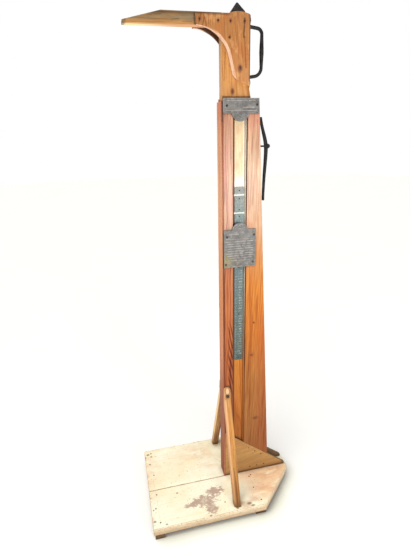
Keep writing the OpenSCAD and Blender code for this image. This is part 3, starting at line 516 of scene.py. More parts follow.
def mast_wood():
    s = Wood("mast_pine", "z", pith=(-40, 70, 0), tilt=(1, 1.6), ring=0.0052, wander=0.016, seed=1.9)
    x, z = s.x, s.z
    gold = s.ramp(z, (0.15, 176, 106, 46), (0.42, 200, 124, 52), (0.56, 210, 136, 54), (0.8, 214, 146, 84),
        (1.4, 226, 170, 110), (1.5, 223, 164, 98), (1.58, 216, 154, 86), (1.68, 204, 144, 80))
    gold = s.grained(gold, (0.74, 0.54, 0.38), 0.6, (0.66, 0.44, 0.3), 0.75, 0.5)

    # Bare pale wood in the upper part of the slot, partly painted highlight, smudged, with painted highlight
    # whitest just above the scale and along the slot's right side
    reader = s.ease(s.ny, -0.5, -0.8)
    in_slot = s.times(reader, s.band(x, -0.064, -0.0615, -0.021, -0.018))
    smudge = s.most(*[s.spot((at_x, -15, at_z), (half_x, 9, half_z), 0.8, 0.5)
                      for at_x, at_z, half_x, half_z in (
                          (-45, 1372, 7, 14), (-29, 1314, 5, 16), (-48, 1268, 6, 15), (-38, 1299, 5, 10))])
    pale = s.grained((242, 214, 164), (0.84, 0.7, 0.52), 0.5, (0.8, 0.66, 0.5), 0.5, 0.3, 0.1)
    pale = s.over(pale, ((228, 186, 122), s.clouds((38, 38, 20), 0.47, 0.6, 0.7)),
        ((255, 246, 230), s.band(z, 1.17, 1.19, 1.215, 1.25), in_slot, 0.85), ((206, 158, 104), smudge, 0.65),
        ((255, 250, 234), s.ease(x, -0.031, -0.0265), in_slot, 0.65))
    c = s.over(gold, (pale, s.ease(z, 0.98, 1.14), s.ease(z, 1.435, 1.405)))

    # Dirt and painted shadow where the stile and the column's top meet the mast, the neck's front face painted
    # pale as lit, a knot and cracks
    rub_and_shadow = s.times(s.band(x, -0.066, -0.0635, -0.0568, -0.055), s.ease(z, 1.415, 1.4), reader)
    face = s.grained((236, 194, 152), (0.84, 0.7, 0.58), 0.5)
    c = s.over(c, ((98, 56, 36), rub_and_shadow, 0.9), ((78, 46, 30), s.band(z, 1.457, 1.46, 1.4645, 1.468), reader, 0.7),
        (face, s.ease(s.nx, -0.6, -0.85), s.ease(z, 1.45, 1.48), 0.85),
        ((168, 100, 52), s.spot((-62.8, -20, 1480), (9, 20, 20), 0.8, 0.3), 0.45),
        ((88, 44, 30), s.spot((-62.8, -20, 1478.5), (4.6, 20, 8.5), 0.6, 0.3), 0.85))
    c = s.cracks(c, (0.6, 0.4, 0.3), 3, 0.6, (-88, 1508, -84, 1580))
    c = s.cracks(c, (0.6, 0.4, 0.3), 2.6, 0.5, (-73, 1500, -72, 1550))
    c = s.over(c, ((240, 196, 150), s.edges(0.0016), 0.35))
    # Dirt and painted shade in the corners, but not on the clean neck, and the bare wood left between the scale
    # strips
    clean = s.times(s.ease(z, 1.475, 1.485), s.ease(x, -0.01, -0.02))
    gap = s.most(s.band(z, 1.117, 1.1176, 1.1214, 1.122), s.band(z, 1.1745, 1.1751, 1.1789, 1.1795))
    c = s.over(c, ((84, 50, 32), s.corners(0.01), s.minus(1, clean), 0.5),
        ((246, 250, 242), gap, s.band(x, -0.058, -0.057, -0.023, -0.022), reader, 0.85))
    return s.varnish(c, 0.5, s.times(s.band(z, 0.9, 1.1, 1.42, 1.46), s.minus(1, rub_and_shadow)), 0.3)


def bracket_wood():
    s = Wood("bracket_pine", "z", pith=(30, 80, 1500), tilt=(2, 3), ring=0.006, wander=0.02, seed=6.4)
    x, z = s.x, s.z
    c = s.ramp(z, (1.49, 212, 152, 96), (1.57, 198, 134, 77), (1.64, 190, 131, 76), (1.68, 180, 123, 76))
    c = s.grained(c, (0.76, 0.56, 0.42), 0.5, (0.66, 0.48, 0.36), 0.45, 0.35)
    c = s.over(c, ((186, 112, 58), s.clouds((36, 36, 20), 0.5, 0.62, 0.5)),
        ((232, 176, 116), s.clouds((50, 30, 26), 0.54, 0.64, 0.4)))
    # Long dark streaks, the stained end at the arm and the grey top
    c = s.cracks(c, (0.62, 0.42, 0.3), 3.2, 0.35, (-52, 1645, -46, 1560))
    c = s.cracks(c, (0.5, 0.34, 0.28), 3, 0.65, (-30, 1618, -25, 1540))
    c = s.cracks(c, (0.62, 0.42, 0.3), 2.6, 0.5, (-40, 1600, -37, 1565))
    c = s.cracks(c, (0.45, 0.36, 0.32), 2.4, 0.7, (-160, 1650, -154, 1672), (-153, 1636, -146, 1660),
        (-140, 1640, -147, 1668))
    c = s.tint(c, ((0.68, 0.66, 0.66), s.ease(x, -0.135, -0.165), s.clouds((60, 60, 60), 0.4, 0.6, 0.6)),
        ((0.5, 0.46, 0.44), s.ease(z, 1.6655, 1.6705), s.ease(x, -0.06, -0.085), 0.85))

    # Bare pale hollow with a stained end, painted shade on the far cheek's hollow by the arm and on the backs,
    # the inner faces stained and in painted shade
    across = s.size(s.ny)
    off_middle = s.size(s.y)
    down = s.ease(s.nz, 0.3, 0.1)
    fresh = s.mix(s.ease(s.streak, 0.4, 0.7), (253, 216, 188), (240, 190, 156))
    fresh = s.tint(fresh, ((0.86, 0.68, 0.58), s.clouds((70, 20, 70), 0.52, 0.64, 0.5)))
    fresh = s.over(fresh, ((92, 60, 44), s.ease(s.y, 0, 0.005), s.ease(x, -0.15, -0.128)),
        ((104, 70, 48), s.ease(x, -0.1672, -0.1692)))
    low_end = s.times(s.ease(z, 1.51, 1.5), s.ease(x, -0.052, -0.044))
    deep = s.most(s.ease(x, -0.13, -0.095), s.ease(off_middle, 0.024, 0.023))
    c = s.over(c, (fresh, s.ease(across, 0.97, 0.86), down, s.minus(1, low_end), deep, 0.85),
        ((98, 60, 42), s.ease(s.nx, 0.35, 0.6), 0.85),
        ((74, 46, 36), s.ease(off_middle, 0.0175, 0.0163), s.ease(across, 0.7, 0.9), 0.9))

    # Rust round the nails, the crack under the last one, the knot
    rust = [((100, 54, 36), s.spot((at_x, 0, at_z), (4.8, 40, 7), 0.5, 0.3), 0.75)
            for at_x, at_z in ((-159, 1657), (-107, 1655), (-71.5, 1655), (-30.5, 1656), (-74.5, 1615))]
    c = s.over(c, *rust, ((84, 48, 34), s.stroke((-30.5, 0, 1662), (-32.5, 0, 1616), 3.4), 0.8),
        ((160, 88, 48), s.spot((-42.8, 0, 1537.8), (10, 40, 13), 0.6, 0.2), 0.45),
        ((122, 80, 60), s.spot((-42.8, 0, 1537.8), (8, 40, 11.5), 0.4, 0.25), 0.85),
        ((66, 44, 40), s.spot((-42.2, 0, 1539.8), (3.6, 40, 6), 0.5, 0.3), 0.85))
    c = s.aged(c, (240, 190, 142), 0.35, (84, 50, 34), 0.45, distance=0.008)
    c = s.over(c, ((244, 192, 126), low_end, s.ease(across, 0.98, 0.9), down, s.ease(x, -0.008, -0.016)))
    return s.varnish(c, 0.5, 0.06, 0.32)


def arm_wood():
    s = Wood("weathered_arm", "x", pith=(0, 60, 1600), tilt=(1.2, 0.8), ring=0.004, wander=0.012, seed=2.6)
    x, z = s.x, s.z
    grey = s.grained((150, 128, 96), (0.7, 0.64, 0.58), 0.5, (0.66, 0.58, 0.5), 0.8, 0.5)
    gold = s.grained((174, 134, 86), (0.74, 0.6, 0.5), 0.5, (0.7, 0.56, 0.44), 0.8, 0.5)
    low = s.grained((206, 148, 84), (0.8, 0.66, 0.5), 0.5)
    c = s.over(grey, (gold, s.clouds((14, 18, 60), 0.42, 0.62)), (low, s.ease(z, 1.657, 1.649), 0.75))
    c = s.tint(c, ((0.52, 0.48, 0.45), s.ease(z, 1.664, 1.672), 0.75))
    # Dark sloping top and blunt tip, the underside painted pale as light from below, with a golden rim
    c = s.over(c, (s.grained((120, 100, 78)), s.ease(s.nz, 0.4, 0.8), 0.8),
        ((96, 76, 58), s.ease(x, -0.35, -0.364), s.ease(z, 1.648, 1.652), 0.7))
    rim = s.grained((214, 160, 96), (0.8, 0.66, 0.5), 0.5)
    pale = s.grained((228, 172, 124), (0.9, 0.78, 0.68), 0.4, (0.88, 0.74, 0.62), 0.3, 0.2, 0.1)
    pale = s.over(pale, ((250, 228, 170), s.ease(x, -0.2, -0.33)),
        (rim, s.ease(s.y, -0.001, -0.005), s.ease(x, -0.17, -0.26), 0.85))
    c = s.over(c, (pale, s.ease(s.nz, -0.4, -0.8)),
        ((84, 74, 62), s.ease(x, -0.353, -0.3625), s.clouds((160, 160, 160), 0.3, 0.5), 0.85))
    c = s.cracks(c, (0.4, 0.34, 0.3), 1.6, 0.7, (-300, 1664, -262, 1667), (-236, 1655, -214, 1658),
        (-205, 1651, -178, 1652))
    c = s.aged(c, (104, 82, 62), 0.3, (62, 44, 34), 0.45, 0.0014, 0.004)
    return s.varnish(c, 0.58, 0.03, 0.35, 0.0003)


def brace_wood(name, lean, seed):
    """The lean is the grain's tilt in degrees, negative on the far brace, which gets a paler side as painted
    light.
    """
    s = Wood(name, "z", pith=(-120, 0, 200), tilt=(lean, 0.6), ring=0.0052, wander=0.006, seed=seed)
    x, z = s.x, s.z
    c = s.ramp(z, (0.05, 152, 104, 56), (0.16, 184, 132, 70), (0.3, 212, 152, 81), (0.475, 208, 152, 86))
    c = s.grained(c, (0.68, 0.46, 0.3), 0.8, (0.54, 0.36, 0.22), 0.7, 0.6)
    # Painted light and shade: the facet turned to the light painted pale, the facets turned down and those
    # turned away from it painted darker
    left = s.ease(s.nx, -0.35, -0.75)
    bare = s.grained((242, 190, 142), (0.86, 0.72, 0.58), 0.5)
    c = s.over(c, (bare, left, s.ease(z, 0.06, 0.3, 0.35, 0.75)))
    if lean < 0:
        paler = s.grained((255, 219, 160), (0.92, 0.76, 0.58), 0.4)
        c = s.over(c, (paler, s.most(left, s.ease(x, -0.082, -0.09)), s.ease(z, 0.1, 0.2, 0.2, 0.95)))
    c = s.tint(c, ((0.6, 0.44, 0.34), s.ease(s.nz, -0.05, -0.3), 0.45),
        ((0.58, 0.44, 0.34), s.ease(s.nx, 0.4, 0.75), 0.6))
    # Countersunk recess round the screw at the head, cracks and the dirty foot
    c = s.over(c, ((128, 72, 38), s.spot((-88, 0, 456), (9, 200, 20), 0.25, 0.15), 0.6),
        ((232, 196, 150), s.spot((-88, 0, 459), (6.2, 200, 13), 0.3, 0.2), 0.85),
        ((70, 46, 34), s.spot((-88, 0, 441), (8, 200, 8.5), 0.4, 0.3), 0.75))
    c = s.cracks(c, (0.6, 0.4, 0.28), 3, 0.5, (-88, 400, -86, 250))
    c = s.cracks(c, (0.5, 0.34, 0.26), 3, 0.7, (-92, 190, -90, 66))
    c = s.over(c, ((88, 62, 40), s.ease(z, 0.082, 0.054), 0.6))
    c = s.aged(c, (246, 206, 152), 0.4, (80, 50, 30), 0.55, 0.002)
    return s.varnish(c, 0.5, 0.08, 0.3)


def gusset_wood():
    """The two triangles, dirty below and at the nose, dark on the slope, and the rear of the far one darkened
    as painted shade.
    """
    s = Wood("gusset_pine", "x", pith=(0, 60, 60), tilt=(0, 12), ring=0.005, wander=0.014, seed=7.2)
    c = s.ramp(s.z, (0.05, 168, 126, 76), (0.14, 188, 144, 88), (0.264, 194, 137, 80))
    c = s.grained(c, (0.82, 0.68, 0.54), 0.25, (0.74, 0.6, 0.48), 0.28, 0.3)
    c = s.over(c, ((156, 118, 78), s.clouds((26, 26, 26), 0.48, 0.68, 0.4)),
        ((112, 76, 48), s.ease(s.z, 0.075, 0.053), 0.5), ((88, 68, 52), s.ease(s.x, 0.14, 0.158), 0.8),
        ((112, 82, 58), s.ease(s.nz, 0.3, 0.6), 0.75),
        ((92, 76, 62), s.ease(s.y, 0, 0.01), s.ease(s.x, 0.07, 0.1), 0.65))
    c = s.aged(c, (206, 160, 112), 0.25, (60, 38, 28), 0.75, 0.0018)
    return s.varnish(c, 0.55, 0.03, 0.35)


def batten_wood():
    s = Wood("dark_batten", "y", pith=(0, 0, -60), ring=0.004, seed=9.5)
    c = s.grained(s.mix(s.ease(s.broad, 0.3, 0.7), (120, 94, 70), (104, 78, 58)), (0.55, 0.5, 0.46), 0.6)
    c = s.aged(c, (168, 136, 104), 0.4, (48, 36, 28), 0.5, 0.0018)
    return s.finish(c, s.ease(s.streak, 0.3, 0.7, 0.66, 0.78), s.grain_bump(0.0004, 0.6), level=0.2)


DECK_TOP = 52
# Small flecks on the deck: x, y and half sizes
FLECKS = ((-33, -183, 8, 4), (-44, -172, 9, 5), (-4, -54, 4, 3), (-196, -186, 5, 3), (-357, -180, 4, 3),
          (-397, -113, 3, 3), (-391, 164, 6, 5), (-378, 150, 4, 4), (-397, -160, 5, 4), (-131, -144, 3, 3),
          (-92, -181, 5, 3), (-300, -60, 4, 3))
# Long scratches on the deck, from a point to a point
SCRATCHES = (((-385, 168), (-378, 40)), ((-383, 40), (-378, -166)), ((-3, 168), (-3, 40)),
             ((-3, -45), (3, -168)))


def stains(s, depth, *rows):
    """1 in any of several spots on the deck: x, y, half sizes, softness, raggedness and its grain."""
    return s.most(*[s.spot((x, y, DECK_TOP), (a, b, depth), *how) for x, y, a, b, *how in rows])


def deck_wood():
    s = Wood("worn_cream_deck", "x", pith=(0, 30, -80), tilt=(0.6, 0.4), ring=0.006, wander=0.012, seed=2.2)
    bare = s.grained(s.mix(s.ease(s.broad, 0.35, 0.65), (226, 186, 150), (212, 166, 130)),
                     (0.84, 0.72, 0.62), 0.5, (0.84, 0.72, 0.62), 0.5)
    bare = s.tint(bare, ((0.86, 0.78, 0.68), 1))
    paint = s.mix(s.clouds((7, 9, 9), 0.38, 0.64), (255, 252, 228), (250, 242, 208))
    paint = s.tint(paint, ((0.95, 0.88, 0.76), s.ease(s.streak, 0.52, 0.7, 0, 0.4)),
        ((0.93, 0.86, 0.74), s.ease(s.fine, 0.56, 0.7, 0, 0.35)))

    # Paint thinned to a rosy film where feet stood and round the corners
    thin = stains(s, 60, (-150, 110, 130, 90, 0.8, 0.5, 16), (-404, 60, 46, 110, 0.8, 0.5, 20),
                  (-40, -40, 70, 30, 0.8, 0.6, 20), (60, 150, 120, 60, 0.8, 0.5, 16))
    film = s.mix(s.clouds((18, 30, 30), 0.35, 0.65), (248, 224, 188), (240, 208, 172))
    tan = stains(s, 60, (85, -60, 100, 62, 0.75, 0.5, 16), (40, -120, 60, 40, 0.8, 0.6, 20))
    tan_colour = s.mix(s.clouds((14, 40, 40), 0.36, 0.62), (240, 198, 156), (226, 176, 134))
    paint = s.over(paint, (film, thin, s.clouds((22, 34, 30), 0.34, 0.62, 0.75, 5)),
        (tan_colour, tan, s.clouds((12, 30, 30), 0.24, 0.5, 0.9, 5)))

    # Paint gone from the edges and in flakes
    flakes = s.times(s.ease(s.noise(s.place, (60, 90, 60), 5, 0.66), 0.6, 0.66),
        s.ease(s.noise(s.place, 9), 0.45, 0.62), 0.55)
    bitten = s.minus(s.noise(s.place, (40, 60, 40), 4, 0.62), 0.5)
    worn = s.most(s.times(s.ease(s.plus(s.edges(0.006, 0.02, 0.3), bitten), 0.3, 0.7), 0.8), flakes)

    # Sides: cream above, darker and browner towards the bottom
    side = s.ramp(s.z, (0.02, 184, 160, 128), (0.034, 216, 196, 164), (0.052, 252, 242, 214))
    side = s.grained(side, (0.84, 0.74, 0.64), 0.5, (0.8, 0.7, 0.6), 0.5)
    side = s.over(side, ((208, 172, 136), s.clouds((22, 22, 160), 0.5, 0.6, 0.5, 5)),
        ((134, 104, 80), s.clouds((60, 60, 300), 0.6, 0.68, 0.6, 4)))
    c = s.over(paint, (bare, worn), (side, s.ease(s.nz, 0.75, 0.35)))

    # Dirt ground into the left and far edges, and fine specks all over
    rim = s.most(s.ease(s.x, -0.394, -0.405), s.ease(s.y, 0.182, 0.189), s.ease(s.y, -0.186, -0.1895, 0, 0.5))
    c = s.over(c, ((222, 184, 144), rim, s.clouds((50, 50, 90), 0.48, 0.6, 0.5, 5)),
        ((130, 100, 74), rim, s.clouds((110, 110, 130), 0.59, 0.65, 0.7, 3)),
        ((170, 134, 98), s.clouds((150, 150, 150), 0.66, 0.72, 0.5, 2)))

    # The torn brown patch, chipped corners, flecks and scratches
    grime = s.noise(s.place, 48, 5, 0.68)
    patch = stains(s, 60, (-240, -124, 46, 14, 1), (-200, -118, 44, 30, 1), (-160, -88, 40, 26, 1),
                   (-186, -152, 24, 34, 1))
    torn = s.times(s.minus(s.noise(s.place, (44, 66, 40), 7, 0.78), 0.5), 3)
    chipped = stains(s, 30, (-60, -172, 26, 14, 0.6, 0.8, 50), (-20, -160, 20, 12, 0.6, 0.8, 50))
    flecks = stains(s, 6, *[row + (0.55, 0.4) for row in FLECKS])
    c = s.over(c,
        ((182, 152, 136), s.ease(s.plus(patch, torn), 0.5, 0.72), s.ease(grime, 0.36, 0.54, 0.55, 0.9)),
        ((196, 150, 104), chipped, 0.5), ((116, 88, 60), flecks, 0.75))
    for start, end in SCRATCHES:
        scratch = s.stroke(start + (0,), end + (0,), 2, (1, 1, 0), 1.2)
        c = s.tint(c, ((0.7, 0.62, 0.5), scratch, s.clouds((40, 40, 40), 0.46, 0.56, 0.35)))
    # Painted shade in the creases round the column's foot
    c = s.over(c, ((150, 112, 80), s.corners(0.03, 0.35, 0.97), 0.55))
    height = s.plus(s.times(s.minus(1, worn), 0.6), s.times(s.fibre, 0.3))
    return s.finish(c, s.ease(grime, 0.3, 0.7, 0.58, 0.74), s.bump(height, 0.0005, 0.5), level=0.25)


# Metals and paint

def black_iron(name, light):
    s = Shader(name)
    blot = s.noise(s.place, 70, 4, 0.6)
    c = s.mix(s.ease(blot, 0.35, 0.7), (36, 36, 38), (56, 54, 54))
    c = s.over(c, ((82, 58, 46), s.clouds((130, 130, 90), 0.56, 0.72, 0.55, 4)),
        ((100, 98, 96), s.edges(0.0012), 0.5))
    hammered = s.bump(s.noise(s.place, 260, 3, 0.6), 0.0004, 0.35)
    # The light scales the colour, so a copy can be darkened as painted shade
    return s.finish(s.shade(c, light), s.ease(blot, 0.3, 0.7, 0.42, 0.62), hammered, metal=0.45, level=0.4)


def nail_iron():
    s = Shader("rusty_nail_iron")
    blot = s.noise(s.place, 240, 3, 0.6)
    c = s.mix(s.ease(blot, 0.4, 0.65), (48, 30, 24), (88, 50, 34))
    return s.finish(c, s.ease(blot, 0.3, 0.7, 0.6, 0.78), s.bump(blot, 0.0003, 0.5), metal=0.1, level=0.15)


def plate_metal():
    """Blotched grey, paler on the raised relief; the side faces and the corners darkened as painted shade."""
    s = Shader("cast_plate")
    blot = s.noise(s.place, 60, 5, 0.66)
    c = s.mix(s.ease(blot, 0.34, 0.66), (96, 94, 94), (135, 133, 130))
    raised = s.mix(s.ease(blot, 0.4, 0.6), (162, 159, 156), (196, 192, 186))
    c = s.over(c, ((111, 99, 87), s.clouds((26, 26, 26), 0.48, 0.66, 0.5)),
        ((146, 134, 90), s.spot((-86, -28, 960), (16, 12, 26), 0.8, 0.6), 0.7),
        ((168, 168, 166), s.clouds((90, 90, 160), 0.56, 0.66, 0.5, 4)),
        (raised, s.ease(s.y, -0.0281, -0.0284), 0.65), ((60, 52, 46), s.ease(s.size(s.ny), 0.75, 0.45)),
        ((50, 46, 44), s.corners(0.003, 0.3, 0.95), 0.7))
    c = s.tint(c, ((0.94, 0.93, 0.84), s.ease(s.z, 1, 0.95), 0.3))
    cast = s.bump(s.noise(s.place, 420, 3), 0.0002, 0.35)
    return s.finish(c, s.ease(blot, 0.3, 0.7, 0.42, 0.58), cast, metal=0.35)


def screw_steel():
    s = Shader("dark_screw_steel")
    blot = s.noise(s.place, 300, 3, 0.6)
    c = s.mix(s.ease(blot, 0.4, 0.65), (52, 46, 44), (86, 76, 70))
    c = s.over(c, ((150, 144, 136), s.edges(0.0006), 0.4))
    return s.finish(c, s.ease(blot, 0.3, 0.7, 0.45, 0.6), s.bump(blot, 0.0002, 0.4), metal=0.5)


def scale_colour(s):
    # Darker at the foot and paler at the top, the upper part partly painted highlight
    base = s.ramp(s.z, (0.575, 72, 90, 88), (0.65, 88, 104, 100), (0.86, 100, 118, 120), (1.02, 106, 126, 132),
        (1.12, 130, 148, 148), (1.205, 150, 154, 150))
    return s.tint(base, ((0.76, 0.72, 0.66), s.clouds((60, 60, 30), 0.46, 0.62, 0.6, 5)),
                  ((1.5, 1.45, 1.4), s.clouds((150, 150, 90), 0.54, 0.66, 0.6, 4)))


def scale_enamel():
    s = Shader("faded_scale")
    # Dark edges, and painted shade in the corners
    c = s.over(scale_colour(s), ((74, 70, 62), s.edges(0.0016, 0.02, 0.25), 0.7),
        ((58, 60, 56), s.corners(0.003, 0.3, 0.95), 0.6))
    rough = s.noise(s.place, 90, 5, 0.68)
    return s.finish(c, s.ease(rough, 0.35, 0.66, 0.4, 0.56), s.bump(rough, 0.0002, 0.3), coat=0.08,
                    coat_rough=0.3)


def number_paint():
    """Pale numbers, rubbed away in places."""
    s = Shader("worn_number_paint")
    worn = s.clouds((110, 110, 70), 0.42, 0.6, 0.8, 4)
    return s.finish(s.mix(worn, (206, 210, 198), scale_colour(s)), s.ease(worn, 0, 1, 0.5, 0.6))


# Pieces made from the frame's nodes

SAME_POINT = 0.00001
ON_PLANE = 0.0000001
SHORT_EDGE = 0.00005
SHARP_TURN = math.radians(35)


def slice_along(bm, axis, step):
    """Cuts the mesh into cells along an axis, so that its edges can wander."""
    i = "xyz".index(axis)
    places = [v.co[i] for v in bm.verts]
    low, high = min(places), max(places)
    count = int((high - low) / step)
    normal = Vector((0, 0, 0))
    normal[i] = 1
    for k in range(1, count + 1):
        bmesh.ops.bisect_plane(bm, geom=bm.verts[:] + bm.edges[:] + bm.faces[:], dist=ON_PLANE,
                               plane_co=normal * (low + (high - low) * k / (count + 1)), plane_no=normal)


def round_edges(bm, width, steps, shortest):
    """Rounds the sharp edges that are longer than the shortest, and returns the new faces."""
    bm.normal_update()
    chosen = [e for e in bm.edges if len(e.link_faces) == 2 and e.calc_length() > shortest
              and e.calc_face_angle(0) > SHARP_TURN]
    if not chosen:
        return []
    done = bmesh.ops.bevel(bm, geom=chosen, offset=width, offset_type="OFFSET", segments=steps, profile=0.5,
                           affect="EDGES", clamp_overlap=True, loop_slide=True)
    return done["faces"]


def wander(bm, depth, scale, seed, only=None, power=1):
    """Moves points inwards by smooth noise, never outwards."""
    bm.normal_update()
    shift = Vector((seed, seed * 1.3, seed * 0.7))
    for v in (only if only is not None else bm.verts):
        n = 0.5 + 0.5 * noise.noise(v.co * scale + shift)
        v.co -= v.normal * depth * max(0, min(1, n)) ** power


def make_piece(name, bm, node, material, replaces=True, smooth=40):
    bm.normal_update()
    mesh = as_mesh(name, bm)
    for p in mesh.polygons:
        p.use_smooth = True
    mesh.set_sharp_from_angle(angle=math.radians(smooth))
    obj = link(name, mesh)
    mesh.materials.append(material)
    mod = obj.modifiers.new("even_shading", "WEIGHTED_NORMAL")
    mod.keep_sharp = True
    mod.weight = 50
    if replaces:
        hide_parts(node)
    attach(obj, NODES[node]["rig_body"])


def node_mesh(node):
    """A node's mesh without doubled points and needless edges."""
    bm = bmesh.new()
    bm.from_mesh(NODES[node].data)
    bmesh.ops.remove_doubles(bm, verts=bm.verts[:], dist=SAME_POINT)
    bmesh.ops.dissolve_limit(bm, angle_limit=math.radians(0.4), verts=bm.verts[:], edges=bm.edges[:])
    return bm


def refined(node, material, width=0.8, steps=3, cut="", cut_step=14, wear=0, wobble=0, seed=1, chips=0,
            shortest=1.5):
    """A node's own shape with rounded, slightly uneven edges, kept inside the node's own box."""
    bm = node_mesh(node)
    for axis in cut:
        slice_along(bm, axis, cut_step * MM)
    faces = round_edges(bm, width * MM, steps, shortest * MM)
    points = {v for f in faces if f.is_valid for v in f.verts}
    for v in list(points):
        if any(e.calc_length() < SHORT_EDGE for e in v.link_edges):
            points.discard(v)
    if wear:
        wander(bm, wear * MM, 45, seed, points, power=2)
    if chips:
        wander(bm, chips * MM, 28, seed + 3, points, power=4.5)
    if wobble:
        wander(bm, wobble * MM, 14, seed + 5)
    low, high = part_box(node)
    for v in bm.verts:
        v.co = [min(max(value, least), most) for value, least, most in zip(v.co, low, high)]
    make_piece(node + "_piece", bm, node, material)


def forged(node, material, cell, swell, dents, seed):
    """A node's shape melted into one smooth hand-forged skin with shallow hammer marks. The swell makes up for
    what the smoothing takes off."""
    obj = link(node + "_rough", as_mesh(node + "_rough", node_mesh(node)))
    skin = obj.modifiers.new("skin", "REMESH")
    skin.mode = "VOXEL"
    skin.voxel_size = cell * MM
    soft = obj.modifiers.new("soft", "SMOOTH")
    soft.factor = 0.5
    soft.iterations = 2
    bm = bmesh.new()
    bm.from_mesh(settled(obj))
    bm.normal_update()
    for v in bm.verts:
        v.co += v.normal * swell * MM
    wander(bm, dents * MM, 190, seed)
    wander(bm, dents * MM, 60, seed + 4)
    make_piece(node + "_piece", bm, node, material, smooth=70)


def islands(bm):
    """Lowest and highest corners of each separate solid, in a fixed order."""
    left = set(bm.verts)
    boxes = []
    for start in bm.verts:
        if start not in left:
            continue
        left.discard(start)
        queue, found = [start], []
        while queue:
            v = queue.pop()
            found.append(v.co)
            for e in v.link_edges:
                other = e.other_vert(v)
                if other in left:
                    left.discard(other)
                    queue.append(other)
        boxes.append((Vector([min(p[i] for p in found) for i in range(3)]),
                      Vector([max(p[i] for p in found) for i in range(3)])))
    return sorted(boxes, key=lambda b: tuple(round(v, 4) for v in b[0]))


# A head's outline from the top down: part of the radius, and depth in millimetres
NAIL_PROFILE = ((0.42, 0.05), (0.72, 0.2), (0.93, 0.45), (1, 0.75), (0.97, 1.1), (0.5, 1.25))
SCREW_PROFILE = ((0.25, 0.02), (0.5, 0.07), (0.72, 0.16), (0.88, 0.3), (0.97, 0.48), (1, 0.72), (0.98, 1.2),
                 (0.55, 1.4))
# The shank's end: parts of the radius and of the length
SHANK_END = ((0.5, 0.93), (0.08, 1))
HEAD_SIDES = 20
HEAD_LUMPS = 0.1
# Cuts beside a screw's slot as parts of the radius, and the slot's half width and depth
SLOT_CUTS = (-0.17, -0.12, 0.12, 0.17)
SLOT_HALF = 0.13
SLOT_DEPTH = 0.0006
SLOT_REACH = 0.0007


def fasteners(node, material, axis, profile, seed):
    """Each solid of the node again as a turned nail or slotted screw with an uneven domed head."""
    source = node_mesh(node)
    boxes = islands(source)
    source.free()
    draw = random.Random(seed)
    i = "xyz".index(axis)
    j, k = [n for n in range(3) if n != i]
    bm = bmesh.new()
    for low, high in boxes:
        centre = (low + high) / 2
        outward = 1 if axis == "z" or centre[i] > 0 else -1
        tip = high[i] if outward > 0 else low[i]
        radius = (high[j] - low[j]) / 2
        length = high[i] - low[i]
        turn = draw.uniform(0, math.tau)
        rings = [(r * radius, d * MM) for r, d in profile]
        rings += [(r * radius, d * length) for r, d in SHANK_END]
        top = Vector(centre)
        top[i] = tip - outward * 0.00002
        rows = [[bm.verts.new(top)]]
        for r, d in rings:
            row = []
            for n in range(HEAD_SIDES):
                a = turn + math.tau * n / HEAD_SIDES
                at = Vector((math.cos(a) * 1.5, math.sin(a) * 1.5, seed + centre[k] * 90))
                lump = 1 - HEAD_LUMPS * abs(noise.noise(at))
                p = Vector(centre)
                p[j] += r * lump * math.cos(a)
                p[k] += r * lump * math.sin(a)
                p[i] = tip - outward * d
                row.append(bm.verts.new(p))
            rows.append(row)
        faces = []
        for n in range(HEAD_SIDES):
            m = (n + 1) % HEAD_SIDES
            faces.append(bm.faces.new((rows[0][0], rows[1][n], rows[1][m])))
            for a, b in zip(rows[1:], rows[2:]):
                faces.append(bm.faces.new((a[n], b[n], b[m], a[m])))
        faces.append(bm.faces.new(rows[-1]))
        if profile is SCREW_PROFILE:
            cut_slot(bm, faces, centre, (i, j, k), radius, tip, outward, turn)
    bmesh.ops.recalc_face_normals(bm, faces=bm.faces[:])
    make_piece(node + "_piece", bm, node, material, smooth=50)


def cut_slot(bm, faces, centre, axes, radius, tip, outward, turn):
    """A narrow groove across one screw head."""
    i, j, k = axes
    across = Vector((0, 0, 0))
    across[j], across[k] = math.cos(turn), math.sin(turn)
    geom = list(faces) + list({e for f in faces for e in f.edges}) + list({v for f in faces for v in f.verts})
    for offset in SLOT_CUTS:
        geom = bmesh.ops.bisect_plane(bm, geom=geom, dist=ON_PLANE, plane_co=centre + across * radius * offset,
                                      plane_no=across)["geom"]
    for v in (g for g in geom if isinstance(g, bmesh.types.BMVert)):
        if abs((v.co - centre).dot(across)) < radius * SLOT_HALF and abs(v.co[i] - tip) < SLOT_REACH:
            v.co[i] -= outward * SLOT_DEPTH


def rib(bm, x0, x1, z, half, base, top):
    """A low raised bar on a face turned to the reader."""
    rows = []
    for y, inset in ((base, 0), (top, half * 0.45)):
        left, right, low, high = x0 + inset, x1 - inset, z - half + inset, z + half - inset
        rows.append([bm.verts.new((x, y, h))
                     for x, h in ((left, low), (right, low), (right, high), (left, high))])
    under, over = rows
    bm.faces.new(over)
    bm.faces.new(under[::-1])
    for n in range(4):
        m = (n + 1) % 4
        bm.faces.new((under[n], under[m], over[m], over[n]))


def ring(bm, cx, cz, radius, half, base, top, start, end):
    """A part of a raised ring on a face turned to the reader."""
    count = max(2, int(64 * (end - start) / math.tau))
    rows = []
    for n in range(count + 1):
        a = start + (end - start) * n / count
        ca, sa = math.cos(a), math.sin(a)
        rows.append([bm.verts.new((cx + r * ca, y, cz + r * sa)) for r, y in (
            (radius - half, base), (radius - half / 2, top), (radius + half / 2, top), (radius + half, base))])
    for a, b in zip(rows, rows[1:]):
        for m in range(4):
            o = (m + 1) % 4
            bm.faces.new((a[m], b[m], b[o], a[o]))
    bm.faces.new(rows[0])
    bm.faces.new(rows[-1][::-1])


# Relief of the plates, in millimetres
RIM_WIDTH = 1.6
FIELD_DEPTH = 0.6
# Depth of the relief's foot and of its top below the rim
RELIEF_FOOT = 0.7
RELIEF_TOP = 0.08
RIB_PITCH = 7.6
